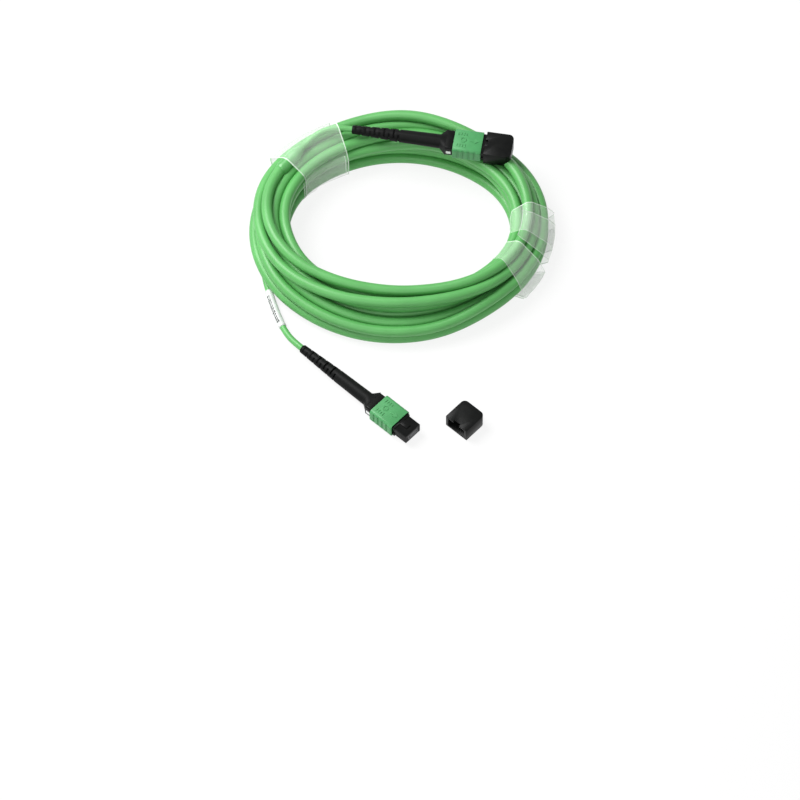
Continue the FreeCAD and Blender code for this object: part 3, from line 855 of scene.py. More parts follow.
@dataclass
class TrunkWinding:
    """The trunk's turns, which drift from place to place in the bundle and press each other apart.

    The lengths here are in millimetres, outwards from the coil's oval and up from the floor.
    """

    turns: int = 12
    per_turn: int = 36
    start_angle: float = 182.4
    end_angle: float = 156.2
    diameter: float = TRUNK_DIAMETER / MM
    lowest: float = 2.85
    half_width: float = 6.3
    outward_bulge: float = 3.4
    inward_bulge: float = 1.6
    bulge_start: float = 25.0
    bulge_power: float = 1.5
    wander: float = 0.8
    wander_step: int = 7
    entry: FlatPoint = (4.6, 3.15)
    leave: FlatPoint = (2.9, 19.0)
    # How far the cord starts inside the shrink sleeve, as a share of the sleeve.
    inside_sleeve: float = 0.2
    # What lies under the bundle's left side: angle, outwards, up and radius of sleeve and leg.
    rods: tuple[tuple[float, float, float, float], ...] = (
        (192.4, 5.3, 3.15, 3.1),
        (202.4, 8.0, 1.9, 1.55),
        (212.4, 11.9, 1.9, 1.55),
    )
    # The settling: its rounds, and the share of each push, pull and smoothing in one round.
    rounds: int = 500
    late_rounds: int = 60
    push: float = 0.4
    smoothing: float = 0.25
    late_smoothing: float = 0.06
    fade: float = 1.4
    pull: float = 0.04
    front_pull: float = 0.05
    early_front_pull: float = 0.06
    front_power: int = 4
    sag: float = 0.01
    hold: float = 0.7
    rod_push: float = 0.8
    free_ends: int = 3

    def __post_init__(self) -> None:
        """Settle the turns."""
        step = 360 / self.per_turn
        sweep = self.start_angle - self.end_angle + 360 * self.turns
        self.angles = self.start_angle - step * np.arange(int(round(sweep / step)) + 1)
        target = self.first_guess()
        self.section = target.copy()
        for index in range(self.rounds):
            self.press(target, index)

    def control_points(self) -> list[Vector]:
        """Lead the cord through its settled turns.

        Returns:
            Its control points in the row frame, from inside the near shrink sleeve.
        """
        points = [bundle_point(angle, *place) for angle, place in zip(self.angles, self.section)]
        sleeve = NEAR_SHRINK.line()
        inside = sleeve[-1] + (sleeve[0] - sleeve[-1]) * self.inside_sleeve
        return [inside] + COIL.place(points)

    def build(self) -> None:
        """Make the coiled trunk cord and report it with its measured length."""
        control = self.control_points()
        trunk = cord_piece("trunk_cord", control, TRUNK_DIAMETER, TRUNK_STEPS)
        paint(trunk, JACKET)
        place_piece(trunk, NEAR_BODY, Slot.JACKET, "trunk_coil")
        length = float(run_along(spline_points(control, TRUNK_STEPS))[-1])
        log.info("trunk length %.4f m", length)

    def strands_at(self, angle: float) -> list[Point]:
        """List the strands that pass one angle.

        Args:
            angle: degrees round the coil.

        Returns:
            How far outwards and up each strand is, and its radius.
        """
        found = []
        first = (self.start_angle - angle) % 360
        for turn in range(self.turns + 1):
            at = (first + 360 * turn) * self.per_turn / 360
            low = int(at)
            if low + 1 < len(self.section):
                place = self.section[low] * (low + 1 - at) + self.section[low + 1] * (at - low)
                found.append((float(place[0]), float(place[1]), self.diameter / 2))
        return found

    def first_guess(self) -> np.ndarray:
        """Let each turn drift between its places in the tables, with a slow random wander.

        Returns:
            How far outwards and up each of the cord's points starts.
        """
        stops = sorted(
            (360 * turn + self.start_angle - angle, place)
            for angle, places in LAY.items()
            for turn, place in enumerate(places)
        )
        at = np.array([stop for stop, _ in stops])
        places = np.array([place for _, place in stops])
        travel = self.start_angle - self.angles
        low = np.clip(np.searchsorted(at, travel, side="right") - 1, 0, len(at) - 2)
        blend = smooth_step((travel - at[low]) / (at[low + 1] - at[low]))
        path = places[low] * (1 - blend) + places[low + 1] * blend
        count = len(self.angles)
        rng = np.random.default_rng(SEED)
        nudges = rng.normal(0, self.wander, (count // self.wander_step + 3, 2))
        low, share = np.divmod(np.arange(count) / self.wander_step, 1)
        low = low.astype(int)
        blend = smooth_step(share)
        return path + nudges[low] * (1 - blend) + nudges[low + 1] * blend

    def press(self, target: np.ndarray, index: int) -> None:
        """Push overlapping turns apart once, and keep them smooth, low and inside the bundle.

        Args:
            target: the places that the turns drift to.
            index: the number of the round; the pull to the targets fades over the rounds.
        """
        section = self.section
        section += self.apart() * self.push
        bend = np.zeros_like(section)
        bend[1:-1] = (section[:-2] + section[2:]) / 2 - section[1:-1]
        early = index < self.rounds - self.late_rounds
        section += bend * (self.smoothing if early else self.late_smoothing)
        front = np.clip(np.cos(np.radians(self.angles + 90)), 0, 1)[:, None] ** self.front_power
        fading = max(0.0, 1 - self.fade * index / self.rounds)
        front_pull = (self.front_pull + self.early_front_pull * fading) * front
        section += (target - section) * (self.pull * fading + front_pull)
        section[:, 1] -= self.sag
        bulge = np.clip(np.sin(np.radians(-self.angles - self.bulge_start)), 0, 1)
        bulge = bulge**self.bulge_power
        outside = self.half_width + self.outward_bulge * bulge
        inside = self.half_width + self.inward_bulge * bulge
        kept_in = np.clip(section[:, 0], -inside, outside)
        section[:, 0] += (kept_in - section[:, 0]) * self.hold
        for angle, offset, height, radius in self.rods:
            self.clear_rod((angle, offset, height), radius + self.diameter / 2)
        section[:, 1] = np.maximum(section[:, 1], self.lowest)
        section[:2] = self.entry
        section[-2:] = self.leave

    def apart(self) -> np.ndarray:
        """Find how far, and which way, each point is pressed by the turns that overlap it.

        Returns:
            The sum of the overlaps at each point, outwards and up.
        """
        count, per_turn = len(self.section), self.per_turn
        grid = np.full((-(-count // per_turn) * per_turn, 2), np.nan)
        grid[:count] = self.section
        grid = grid.reshape(-1, per_turn, 2).transpose(1, 0, 2)
        gap = grid[:, :, None] - grid[:, None]
        distance = np.sqrt((gap**2).sum(-1))
        overlap = np.nan_to_num(np.clip(self.diameter - distance, 0, None))
        diagonal = np.arange(overlap.shape[1])
        overlap[:, diagonal, diagonal] = 0
        heading = np.nan_to_num(gap / (distance[..., None] + TINY))
        push = (heading * overlap[..., None]).sum(2)
        return push.transpose(1, 0, 2).reshape(-1, 2)[:count]

    def clear_rod(self, rod: Point, reach: float) -> None:
        """Push the turns off something that lies under them at one angle.

        Args:
            rod: its angle, and how far outwards and up its middle is.
            reach: how far from its middle the turns' own middles must be.
        """
        away = (self.angles - rod[0] + 180) % 360 - 180
        near = np.flatnonzero(np.abs(away) < 180 / self.per_turn + TINY)
        near = near[(near > self.free_ends) & (near < len(self.section) - self.free_ends)]
        gap = self.section[near] - np.array(rod[1:])
        distance = np.linalg.norm(gap, axis=1) + TINY
        short = np.clip(reach - distance, 0, None)
        self.section[near] += gap / distance[:, None] * short[:, None] * self.rod_push


# ---------------------------------------------------------------- stage
@dataclass(frozen=True)
class Studio:
    """The camera, the pale floor and the soft lights."""

    frame: float = 800.0
    frame_per_mm: float = 2.19
    turn: float = math.radians(42.6)
    tilt: float = math.radians(57.0)
    distance: float = 6.0
    farthest: float = 50.0
    sensor: float = 36.0
    anchor: Point = (-14.3 * MM, 0.0, 0.0)
    anchor_in_frame: FlatPoint = (389.8, 416.0)
    floor_half: float = 3.0
    floor_colour: tuple[float, float, float] = (0.93, 0.93, 0.93)
    floor_roughness: float = 0.9
    floor_glow: float = 0.86
    sky_strength: float = 0.26
    # Each lamp's name, place from the object, side and power.
    lamps: tuple[tuple[str, Point, float, float], ...] = (
        ("key", (-0.62, -0.10, 0.80), 0.6, 13.0),
        ("fill", (0.25, -0.65, 0.6), 0.8, 3.0),
    )

    def build(self) -> None:
        """Make the camera, the floor, the lamps and the world."""
        target = self.camera()
        bpy.context.scene.view_settings.view_transform = "Standard"
        self.floor()
        for name, place, side, power in self.lamps:
            self.lamp(name, target + Vector(place), side, power, target)
        self.world()

    def camera(self) -> Vector:
        """Set up the camera.

        Returns:
            The point in the middle of its frame.
        """
        right = Vector((math.cos(self.turn), math.sin(self.turn), 0))
        ahead = Vector((-math.sin(self.turn), math.cos(self.turn), 0))
        look = ahead * math.cos(self.tilt) - UP * math.sin(self.tilt)
        up = right.cross(look)
        middle = self.frame / 2
        target = Vector(self.anchor)
        target += right * (middle - self.anchor_in_frame[0]) / self.frame_per_mm * MM
        target -= up * (middle - self.anchor_in_frame[1]) / self.frame_per_mm * MM
        data = bpy.data.cameras.new("camera")
        data.sensor_width = self.sensor
        data.lens = data.sensor_width * self.distance / (self.frame / self.frame_per_mm * MM)
        data.clip_end = self.farthest
        camera = link("camera", data)
        axes = Matrix((right, up, -look)).transposed().to_4x4()
        camera.matrix_world = Matrix.Translation(target - look * self.distance) @ axes
        bpy.context.scene.camera = camera
        return target

    def floor(self) -> None:
        """Lay a wide white floor that keeps the object's soft shadow."""
        half = self.floor_half
        corners = ((-half, -half), (half, -half), (half, half), (-half, half))
        verts = [(x, y, FLOOR) for x, y in corners]
        floor = mesh_object("floor", verts, [(0, 1, 2, 3)], smooth=False)
        material, tree, shader = start_material("floor_white")
        shader.inputs["Base Color"].default_value = (*self.floor_colour, 1)
        shader.inputs["Roughness"].default_value = self.floor_roughness
        glow = tree.nodes.new("ShaderNodeEmission")
        glow.inputs["Strength"].default_value = 1.0
        share = tree.nodes.new("ShaderNodeMath")
        share.operation = "MULTIPLY"
        share.inputs[1].default_value = self.floor_glow
        tree.links.new(self.rays(tree, "Is Camera Ray", "Is Glossy Ray"), share.inputs[0])
        self.mix(tree, share.outputs[0], shader, glow, "Material Output")
        floor.data.materials.append(material)

    def lamp(self, name: str, place: Vector, side: float, power: float, target: Vector) -> None:
        """Hang a square soft light that faces the object.

        Args:
            name: the lamp's name.
            place: where it hangs.
            side: the length of its side.
            power: its power in watts.
            target: what it faces.
        """
        data = bpy.data.lights.new(name, "AREA")
        data.shape = "SQUARE"
        data.size = side
        data.energy = power
        lamp = link(name, data)
        lamp.location = place
        lamp.rotation_euler = (target - lamp.location).to_track_quat("-Z", "Y").to_euler()

    def world(self) -> None:
        """Light the scene softly from all round, and show white behind the floor."""
        world = bpy.data.worlds.new("soft_white")
        world.use_nodes = True
        tree = world.node_tree
        soft = tree.nodes["Background"]
        soft.inputs["Color"].default_value = (1, 1, 1, 1)
        soft.inputs["Strength"].default_value = self.sky_strength
        white = tree.nodes.new("ShaderNodeBackground")
        white.inputs["Strength"].default_value = 1.0
        seen = self.rays(tree, "Is Camera Ray", "Is Glossy Ray", "Is Transmission Ray")
        self.mix(tree, seen, soft, white, "World Output")
        bpy.context.scene.world = world

    @staticmethod
    def rays(tree: bpy.types.NodeTree, first: str, *others: str) -> bpy.types.NodeSocket:
        """Pick out the rays of some kinds.

        Args:
            tree: the node tree.
            first: the first kind, as Light Path names it.
            others: the other kinds.

        Returns:
            A socket that is 1 for those rays and 0 for all others.
        """
        path = tree.nodes.new("ShaderNodeLightPath")
        found = path.outputs[first]
        for kind in others:
            either = tree.nodes.new("ShaderNodeMath")
            either.operation = "MAXIMUM"
            tree.links.new(found, either.inputs[0])
            tree.links.new(path.outputs[kind], either.inputs[1])
            found = either.outputs[0]
        return found

    @staticmethod
    def mix(
        tree: bpy.types.NodeTree,
        share: bpy.types.NodeSocket,
        usual: bpy.types.Node,
        bright: bpy.types.Node,
        output: str,
    ) -> None:
        """Lead a mix of two shaders to the tree's output.

        Args:
            tree: the node tree.
            share: the socket that gives the bright shader's share.
            usual: the shader at a share of 0.
            bright: the shader at a share of 1.
            output: the name of the tree's output node.
        """
        mix = tree.nodes.new("ShaderNodeMixShader")
        tree.links.new(share, mix.inputs["Fac"])
        tree.links.new(usual.outputs[0], mix.inputs[1])
        tree.links.new(bright.outputs[0], mix.inputs[2])
        tree.links.new(mix.outputs[0], tree.nodes[output].inputs["Surface"])


# ---------------------------------------------------------------- cords and what is on them
@dataclass(frozen=True)
class LegCord:
    """A thin leg from a plug's boot to where it joins the trunk, its route in millimetres."""

    name: str
    node: str
    route: tuple[Point, ...]
    length: float
    in_coil_axes: bool = False

    def own_points(self) -> list[Vector]:
        """Return the route's points in metres, in the axes that it is given in."""
        return [Vector(point) * MM for point in self.route]

    def control_points(self) -> list[Vector]:
        """Return the route's points in the row frame, in metres."""
        points = self.own_points()
        return COIL.place(points) if self.in_coil_axes else points

    def build(self) -> None:
        """Make the leg, on its own smooth spline, and report it."""
        control = self.control_points()
        cord = cord_piece(self.name, control, LEG_DIAMETER, LEG_STEPS)
        paint(cord, JACKET)
        place_piece(cord, NEAR_BODY, Slot.JACKET, self.node)


NEAR_LEG = LegCord(
    "leg_cord",
    "leg_cable",
    (
        (-68.8, 0.0, 0.0),
        (-74.3, 0.0, 0.0),
        (-80.5, 1.4, -0.3),
        (-88.5, 5.2, -1.2),
        (-98.5, 11.0, -1.93),
        (-108.0, 17.3, -1.95),
        (-113.5, 22.0, -1.95),
        (-115.8, 23.95, -1.6),
    ),
    53.4 * MM,
)
FAR_LEG = LegCord(
    "far_leg_cord",
    "far_leg_cable",
    (
        (-22.0, 44.2, 23.1),
        (-28.51, 45.27, 23.1),
        (-35.6, 43.9, 22.4),
        (-41.2, 40.0, 21.4),
        (-45.3, 35.4, 20.7),
        (-48.6, 31.7, 20.15),
    ),
    31.3 * MM,
    in_coil_axes=True,
)


@dataclass(frozen=True)
class ShrinkSleeve:
    """The shrink sleeve where a leg joins the trunk: narrow on the leg, full over the joint.

    The lengths here are in millimetres.
    """

    name: str
    node: str
    start: Point
    heading: Point
    leg_drop: float = 0.0
    drop_share: float = 0.3
    in_coil_axes: bool = False
    rings: int = 40
    # The radius at shares of the length.
    profile: tuple[FlatPoint, ...] = (
        (0.0, 1.72), (0.06, 1.85), (0.26, 2.92), (0.34, 3.05),
        (0.9, 3.02), (0.97, 2.85), (1.0, 2.66),
    )

    def line(self) -> list[Vector]:
        """Trace the sleeve's axis, which meets the leg's height at its start.

        Returns:
            The axis's points in the row frame, in metres.
        """
        heading = Vector(self.heading).normalized()
        points = []
        for index in range(self.rings + 1):
            share = index / self.rings
            rise = min(1.0, share / self.drop_share)
            sink = self.leg_drop * (1 - rise * rise * (3 - 2 * rise))
            point = Vector(self.start) + heading * SHRINK_LENGTH / MM * share - UP * sink
            points.append(point * MM)
        return COIL.place(points) if self.in_coil_axes else points

    def axis(self) -> list[Vector]:
        """Return the two ends of the straight axis in metres, in the axes that it is given in."""
        start = Vector(self.start) * MM
        return [start, start + Vector(self.heading).normalized() * SHRINK_LENGTH]

    def radius(self, share: float) -> float:
        """Return the outside radius at a share of the length, in metres."""
        return float(np.interp(share, *zip(*self.profile))) * MM

    def build(self) -> None:
        """Make the sleeve and report it."""
        sleeve = tube_along(self.name, np.array(self.line()), self.radius)
        paint(sleeve, SHRINK)
        place_piece(sleeve, NEAR_BODY, Slot.SHRINK, self.node)


NEAR_SHRINK = ShrinkSleeve(
    "shrink_sleeve",
    "transition_sleeve",
    start=(-113.5, 22.0, -0.70),
    heading=(-5.5, 4.7, 0.0),
    leg_drop=1.25,
)
FAR_SHRINK = ShrinkSleeve(
    "far_shrink_sleeve",
    "far_transition_sleeve",
    start=(-45.3, 35.4, 20.7),
    heading=(-4.1, -4.6, -0.7),
    in_coil_axes=True,
)


@dataclass(frozen=True)
class LabelSleeve:
    """The pale sleeve on the near leg, with a row of plain print ticks."""

    radius: float = 1.85 * MM
    lip: float = 0.1 * MM
    lip_share: float = 0.02
    margin: float = 1.11 * MM
    plain_ends: int = 4
    tick_count: int = 34
    tick_angles: FlatPoint = (math.radians(116), math.radians(143))
    tick_size: Point = (0.34 * MM, 0.72 * MM, 0.12 * MM)
    tick_least: Point = (0.5, 0.35, 1.0)
    tick_most: Point = (1.4, 1.1, 1.0)

    def line(self) -> np.ndarray:
        """Trace the label's axis.

        Returns:
            The part of the near leg's line that the label covers.
        """
        line = spline_points(NEAR_LEG.control_points())
        low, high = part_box("label_sleeve")
        return line[(line[:, 0] > low[0] + self.margin) & (line[:, 0] < high[0] - self.margin)]

    def outside(self, share: float) -> float:
        """Return the outside radius at a share of the length; both ends are drawn in a little."""
        end = min(share, 1 - share) / self.lip_share
        return self.radius - self.lip * (1 - min(1.0, end))

    def build(self) -> None:
        """Make the label and its ticks and report them."""
        line = self.line()
        label = tube_along("label", line, self.outside)
        paint(label, LABEL)
        place_piece(label, NEAR_BODY, Slot.LABEL, "label_sleeve")
        ticks = self.tick_spots(line[self.plain_ends : -self.plain_ends])
        self.set_ticks(ticks)
        place_piece(ticks, NEAR_BODY, Slot.LABEL)

    def tick_spots(self, line: np.ndarray) -> bpy.types.Object:
        """Make the points that the print ticks are set on.

        Args:
            line: the part of the label's axis that has print.

        Returns:
            The object of bare points, with the way outwards and onwards at each.
        """
        run = run_along(line)
        spots, outwards, onwards = [], [], []
        for angle in self.tick_angles:
            for at in np.linspace(0, run[-1], self.tick_count):
                index = max(1, min(len(line) - 2, int(np.searchsorted(run, at))))
                ahead = Vector(line[index + 1] - line[index - 1]).normalized()
                side, above = across_axes(ahead)
                out = side * math.cos(angle) + above * math.sin(angle)
                centre = Vector([float(np.interp(at, run, line[:, axis])) for axis in range(3)])
                spots.append(centre + out * self.radius)
                outwards.append(out)
                onwards.append(ahead)
        host = mesh_object("label_ticks", spots, [])
        for name, vectors in (("outwards", outwards), ("onwards", onwards)):
            attribute = host.data.attributes.new(name, "FLOAT_VECTOR", "POINT")
            attribute.data.foreach_set("vector", np.array(vectors, np.float32).ravel())
        return host

    def set_ticks(self, host: bpy.types.Object) -> None:
        """Set a tick on each point with a node tree; the ticks are all that stays.

        Args:
            host: the object of bare points.
        """
        tree = NodeTree("ticks_on_label")
        points = tree.input("Points", "NodeSocketGeometry")
        size = tree.input("Size", "NodeSocketVector")
        seed = tree.input("Seed", "NodeSocketInt")
        material = tree.input("Material", "NodeSocketMaterial")
        facing = tree.add("FunctionNodeAxesToRotation")
        facing.primary_axis, facing.secondary_axis = "Z", "X"
        for name, socket in zip(("outwards", "onwards"), facing.inputs):
            reader = tree.add("GeometryNodeInputNamedAttribute", Name=name)
            reader.data_type = "FLOAT_VECTOR"
            tree.links.new(reader.outputs["Attribute"], socket)
        box = tree.add("GeometryNodeMeshCube", Size=size)
        stretch = tree.add("FunctionNodeRandomValue", Seed=seed)
        stretch.data_type = "FLOAT_VECTOR"
        stretch.inputs["Min"].default_value = self.tick_least
        stretch.inputs["Max"].default_value = self.tick_most
        copies = tree.add(
            "GeometryNodeInstanceOnPoints",
            Points=points,
            Instance=box.outputs["Mesh"],
            Rotation=facing.outputs[0],
            Scale=stretch.outputs["Value"],
        )
        tree.finish(copies.outputs["Instances"], material)
        tree.apply(host, {"Size": self.tick_size, "Seed": SEED, "Material": PAINTS.get(PRINT)})


# ---------------------------------------------------------------- the film that ties the coil
@dataclass
class FilmWrap:
    """A band of thin film round the bundle, drawn tight over the strands, with a loose end.

    The angles are in degrees round the coil and the lengths in millimetres.
    """

    name: str
    first: float
    last: float
    # How it is wound: its laps, where on the lap it starts, and how far a lap strays sideways.
    laps: float = 1.2
    start_share: float = 0.0
    skew: float = 0.0
    lap_rise: float = 0.16
    # How close it lies to the strands, and how far it stands off them on the coil's outside.
    gap: float = 0.2
    slack: float = 0.0
    bulge_height: float = 8.0
    bulge_radius: float = 2.5
    lowest: float = 0.12
    floor_gap: float = 0.1
    # The loose end: its length and how it rises and curls away, with a whiter strip at the end.
    tail: int = 3
    tail_rise: float = 0.35
    tail_curl: float = 0.03
    end_strip: float = 0.3
    # The rolled edges, each as a share of the width, and the creases.
    edge: float = 0.018
    edge_roll: float = 0.12
    edge_rows: int = 2
    crease_depth: float = 0.05
    crease_run: float = 6.3
    crease_waves: int = 6
    thickness: float = 0.1
    # How finely it is divided.
    rows: int = 13
    steps_per_lap: int = 110
    ring_points: int = 48

    def rim(self, winding: TrunkWinding, angle: float) -> np.ndarray:
        """Draw the tight outline of what the film holds at one angle.

        Args:
            winding: the trunk's turns.
            angle: degrees round the coil.

        Returns:
            The outline's points, evenly stepped, outwards and up.
        """
        held = winding.strands_at(angle) + resting_on_top(angle)
        turn = np.linspace(0, 2 * math.pi, self.ring_points, endpoint=False)
        ring = np.stack([np.cos(turn), np.sin(turn)], axis=1)
        cloud = np.concatenate([ring * (radius + self.gap) + (out, up) for out, up, radius in held])
        bulge_out = cloud[:, 0].max() + self.slack - self.bulge_radius
        bulge = ring * self.bulge_radius + (bulge_out, self.bulge_height)
        cloud = np.concatenate([cloud, bulge])
        cloud[:, 1] = np.maximum(cloud[:, 1], self.lowest)
        hull = convex_hull(cloud)
        start = int(np.argmin(hull[:, 1] - hull[:, 0]))
        hull = np.roll(hull, -start, axis=0)
        loop = np.vstack([hull, hull[:1]])
        run = run_along(loop)
        even = np.linspace(0, run[-1], self.steps_per_lap, endpoint=False)
        return np.stack([np.interp(even, run, loop[:, axis]) for axis in (0, 1)], axis=1)

    def shares(self) -> list[float]:
        """Space the rows of points over the film's width, closest at its rolled edges.

        Returns:
            Each row's share of the width, 0 to 1.
        """
        inner = np.linspace(self.edge, 1 - self.edge, self.rows)[1:-1]
        rolled = [0, self.edge / 2, self.edge]
        return rolled + list(inner) + [1 - share for share in reversed(rolled)]

    def row(self, winding: TrunkWinding, share: float, creases: np.ndarray) -> list[Point]:
        """Wind one row of the film's points round the bundle and out along its loose end.

        Args:
            winding: the trunk's turns.
            share: where the row lies across the film, 0 to 1.
            creases: each crease's depth, run and shift, and a spare number.

        Returns:
            Each point's angle, and how far outwards and up it is.
        """
        angle = self.first + (self.last - self.first) * share
        rims = [self.rim(winding, angle + self.skew * part) for part in (0.0, 0.5, 1.0)]
        middle = rims[0].mean(axis=0)
        steps = int(self.steps_per_lap * self.laps)
        rolled = self.edge_roll * max(0.0, 1 - min(share, 1 - share) / self.edge)
        line, angles = [], []
        for step in range(steps):
            progress = 2 * step / steps
            low = min(1, int(progress))
            rim = rims[low] * (1 - progress + low) + rims[low + 1] * (progress - low)
            at = (step + int(self.start_share * self.steps_per_lap)) % self.steps_per_lap
            out = outward_normal(rim[(at + 1) % len(rim)] - rim[at - 1], rim[at] - middle)
            turned = math.pi * progress
            wave = sum(
                depth * math.sin(run * self.crease_run * share + (index + 2) * turned + shift)
                for index, (depth, run, shift, _) in enumerate(creases)
            )
            lap = self.lap_rise * step / self.steps_per_lap
            line.append(rim[at] + out * (lap + self.crease_depth * abs(wave) + rolled))
            angles.append(angle + self.skew * step / steps)
        root = line[-1]
        way = root - line[-3]
        way = way / np.linalg.norm(way)
        lift = outward_normal(way, root - middle)
        for run in (*range(1, self.tail + 1), self.tail + self.end_strip):
            rise = self.tail_rise * run + self.tail_curl * run * run
            line.append(root + way * run + lift * rise)
            angles.append(angle + self.skew)
        return [(at, out, max(up, self.floor_gap)) for at, (out, up) in zip(angles, line)]

    def skin(self, shares: list[float], rows: list[list[Point]]) -> bpy.types.Object:
        """Join the rows of points to one sheet, whiter along its edges.

        Args:
            shares: each row's share of the film's width.
            rows: each row's points, as angle, outwards and up.

        Returns:
            The sheet, with no thickness yet; its UV map runs along the film and across it.
        """
        across, bands = len(rows[0]), len(rows) - 1
        verts = [bundle_point(*point) for row in rows for point in row]
        uvs = [(step / (across - 1), share) for share in shares for step in range(across)]
        faces, marks = [], []
        for band in range(bands):
            on_side = band < self.edge_rows or band >= bands - self.edge_rows
            for step in range(across - 1):
                corner = band * across + step
                faces.append((corner, corner + 1, corner + across + 1, corner + across))
                marks.append(int(on_side or step == across - 2))
        name = self.name.replace("film_wrap", "clear_film")
        film = mesh_object(name, COIL.place(verts), faces)
        layer = film.data.uv_layers.new(name="UVMap")
        for loop in film.data.loops:
            layer.data[loop.index].uv = uvs[loop.vertex_index]
        paint(film, FILM)
        film.data.materials.append(PAINTS.get(FILM_EDGE))
        for polygon, mark in zip(film.data.polygons, marks):
            polygon.material_index = mark
        return film

    def build(self, winding: TrunkWinding) -> None:
        """Make the film, give it its thickness, and report it.

        Args:
            winding: the trunk's turns, which it is wound round.
        """
        # Each film has creases of its own; the fourth number of each is spare.
        rng = np.random.default_rng(SEED + int(self.first) + 360)
        creases = rng.normal(0, 1, (self.crease_waves, 4))
        shares = self.shares()
        rows = [self.row(winding, share, creases) for share in shares]
        film = self.skin(shares, rows)
        solid = film.modifiers.new("thickness", "SOLIDIFY")
        solid.thickness = self.thickness * MM
        solid.offset = 0
        freeze(film)
        # Film this thin throws no shadow to speak of: the strands under it stay as bright.
        film.visible_shadow = False
        place_piece(film, NEAR_BODY, Slot.FILM, self.name)


def outward_normal(way: np.ndarray, away: np.ndarray) -> np.ndarray:
    """Find the unit normal of a way on one of its sides.

    Args:
        way: the way, outwards and up.
        away: any way that leads to the wanted side.

    Returns:
        The normal, outwards and up.
    """
    out = np.array([way[1], -way[0]]) / (np.linalg.norm(way) + TINY)
    return -out if np.dot(out, away) < 0 else out


def convex_hull(points: np.ndarray) -> np.ndarray:
    """Find the corners of the points' convex hull.

    Args:
        points: the points, one in each row.

    Returns:
        The corners, anticlockwise.
    """
    order = points[np.lexsort((points[:, 1], points[:, 0]))]
    hull: list[np.ndarray] = []
    for run in (order, order[::-1]):
        side: list[np.ndarray] = []
        for point in run:
            while len(side) > 1 and turns_left(side[-2], side[-1], point) <= 0:
                side.pop()
            side.append(point)
        hull += side[:-1]
    return np.array(hull)


def turns_left(before: np.ndarray, last: np.ndarray, point: np.ndarray) -> float:
    """Return more than 0 where the way from one point over the next to a third turns left."""
    one, other = last - before, point - before
    return one[0] * other[1] - one[1] * other[0]


def resting_on_top(angle: float) -> list[Point]:
    """Find the far leg and its shrink sleeve where they pass one angle.

    Args:
        angle: degrees round the coil.

    Returns:
        How far outwards and up each of them is, and its radius, in millimetres.
    """
    found = []
    lines = ((FAR_LEG.own_points(), LEG_DIAMETER / 2), (FAR_SHRINK.axis(), SHRINK_RADIUS))
    for line, radius in lines:
        bearings = [math.degrees(math.atan2(point.y, point.x)) for point in line]
        for index in range(len(line) - 1):
            low, high = bearings[index], bearings[index + 1]
            if min(low, high) <= angle <= max(low, high):
                share = (angle - low) / (high - low)
                point = line[index].lerp(line[index + 1], share)
                centre, outward = OVAL.at(math.radians(angle))
                flat = Vector((point.x, point.y, 0))
                found.append(((flat - centre).dot(outward) / MM, point.z / MM, radius / MM))
    return found


FILMS = (
    FilmWrap("film_wrap_right", -8.5, 6.5, laps=1.42, tail_rise=0.2, skew=-7.5, slack=2.4),
    FilmWrap(
        "film_wrap_front_right",
        -31.5,
        -18.5,
        laps=1.3,
        tail_rise=0.05,
        start_share=0.67,
        skew=1.5,
        slack=2.8,
        bulge_height=6.0,
    ),
    FilmWrap(
        "film_wrap_back", 124, 154, start_share=0.6, skew=-2.0, slack=2.2, bulge_height=15.0
    ),
)


# ---------------------------------------------------------------- the plugs
@dataclass(frozen=True)
class Moulding:
    """One moulded piece of a plug: its CAD node, the rounding of its edges and its looks."""

    node: str
    rounding: float
    finish: Finish
    slot: Slot
    slides: bool = False


@dataclass(frozen=True)
class Spring:
    """One spring of a plug: its CAD node, the joint that presses it and how far."""

    node: str
    joint: str
    travel: float


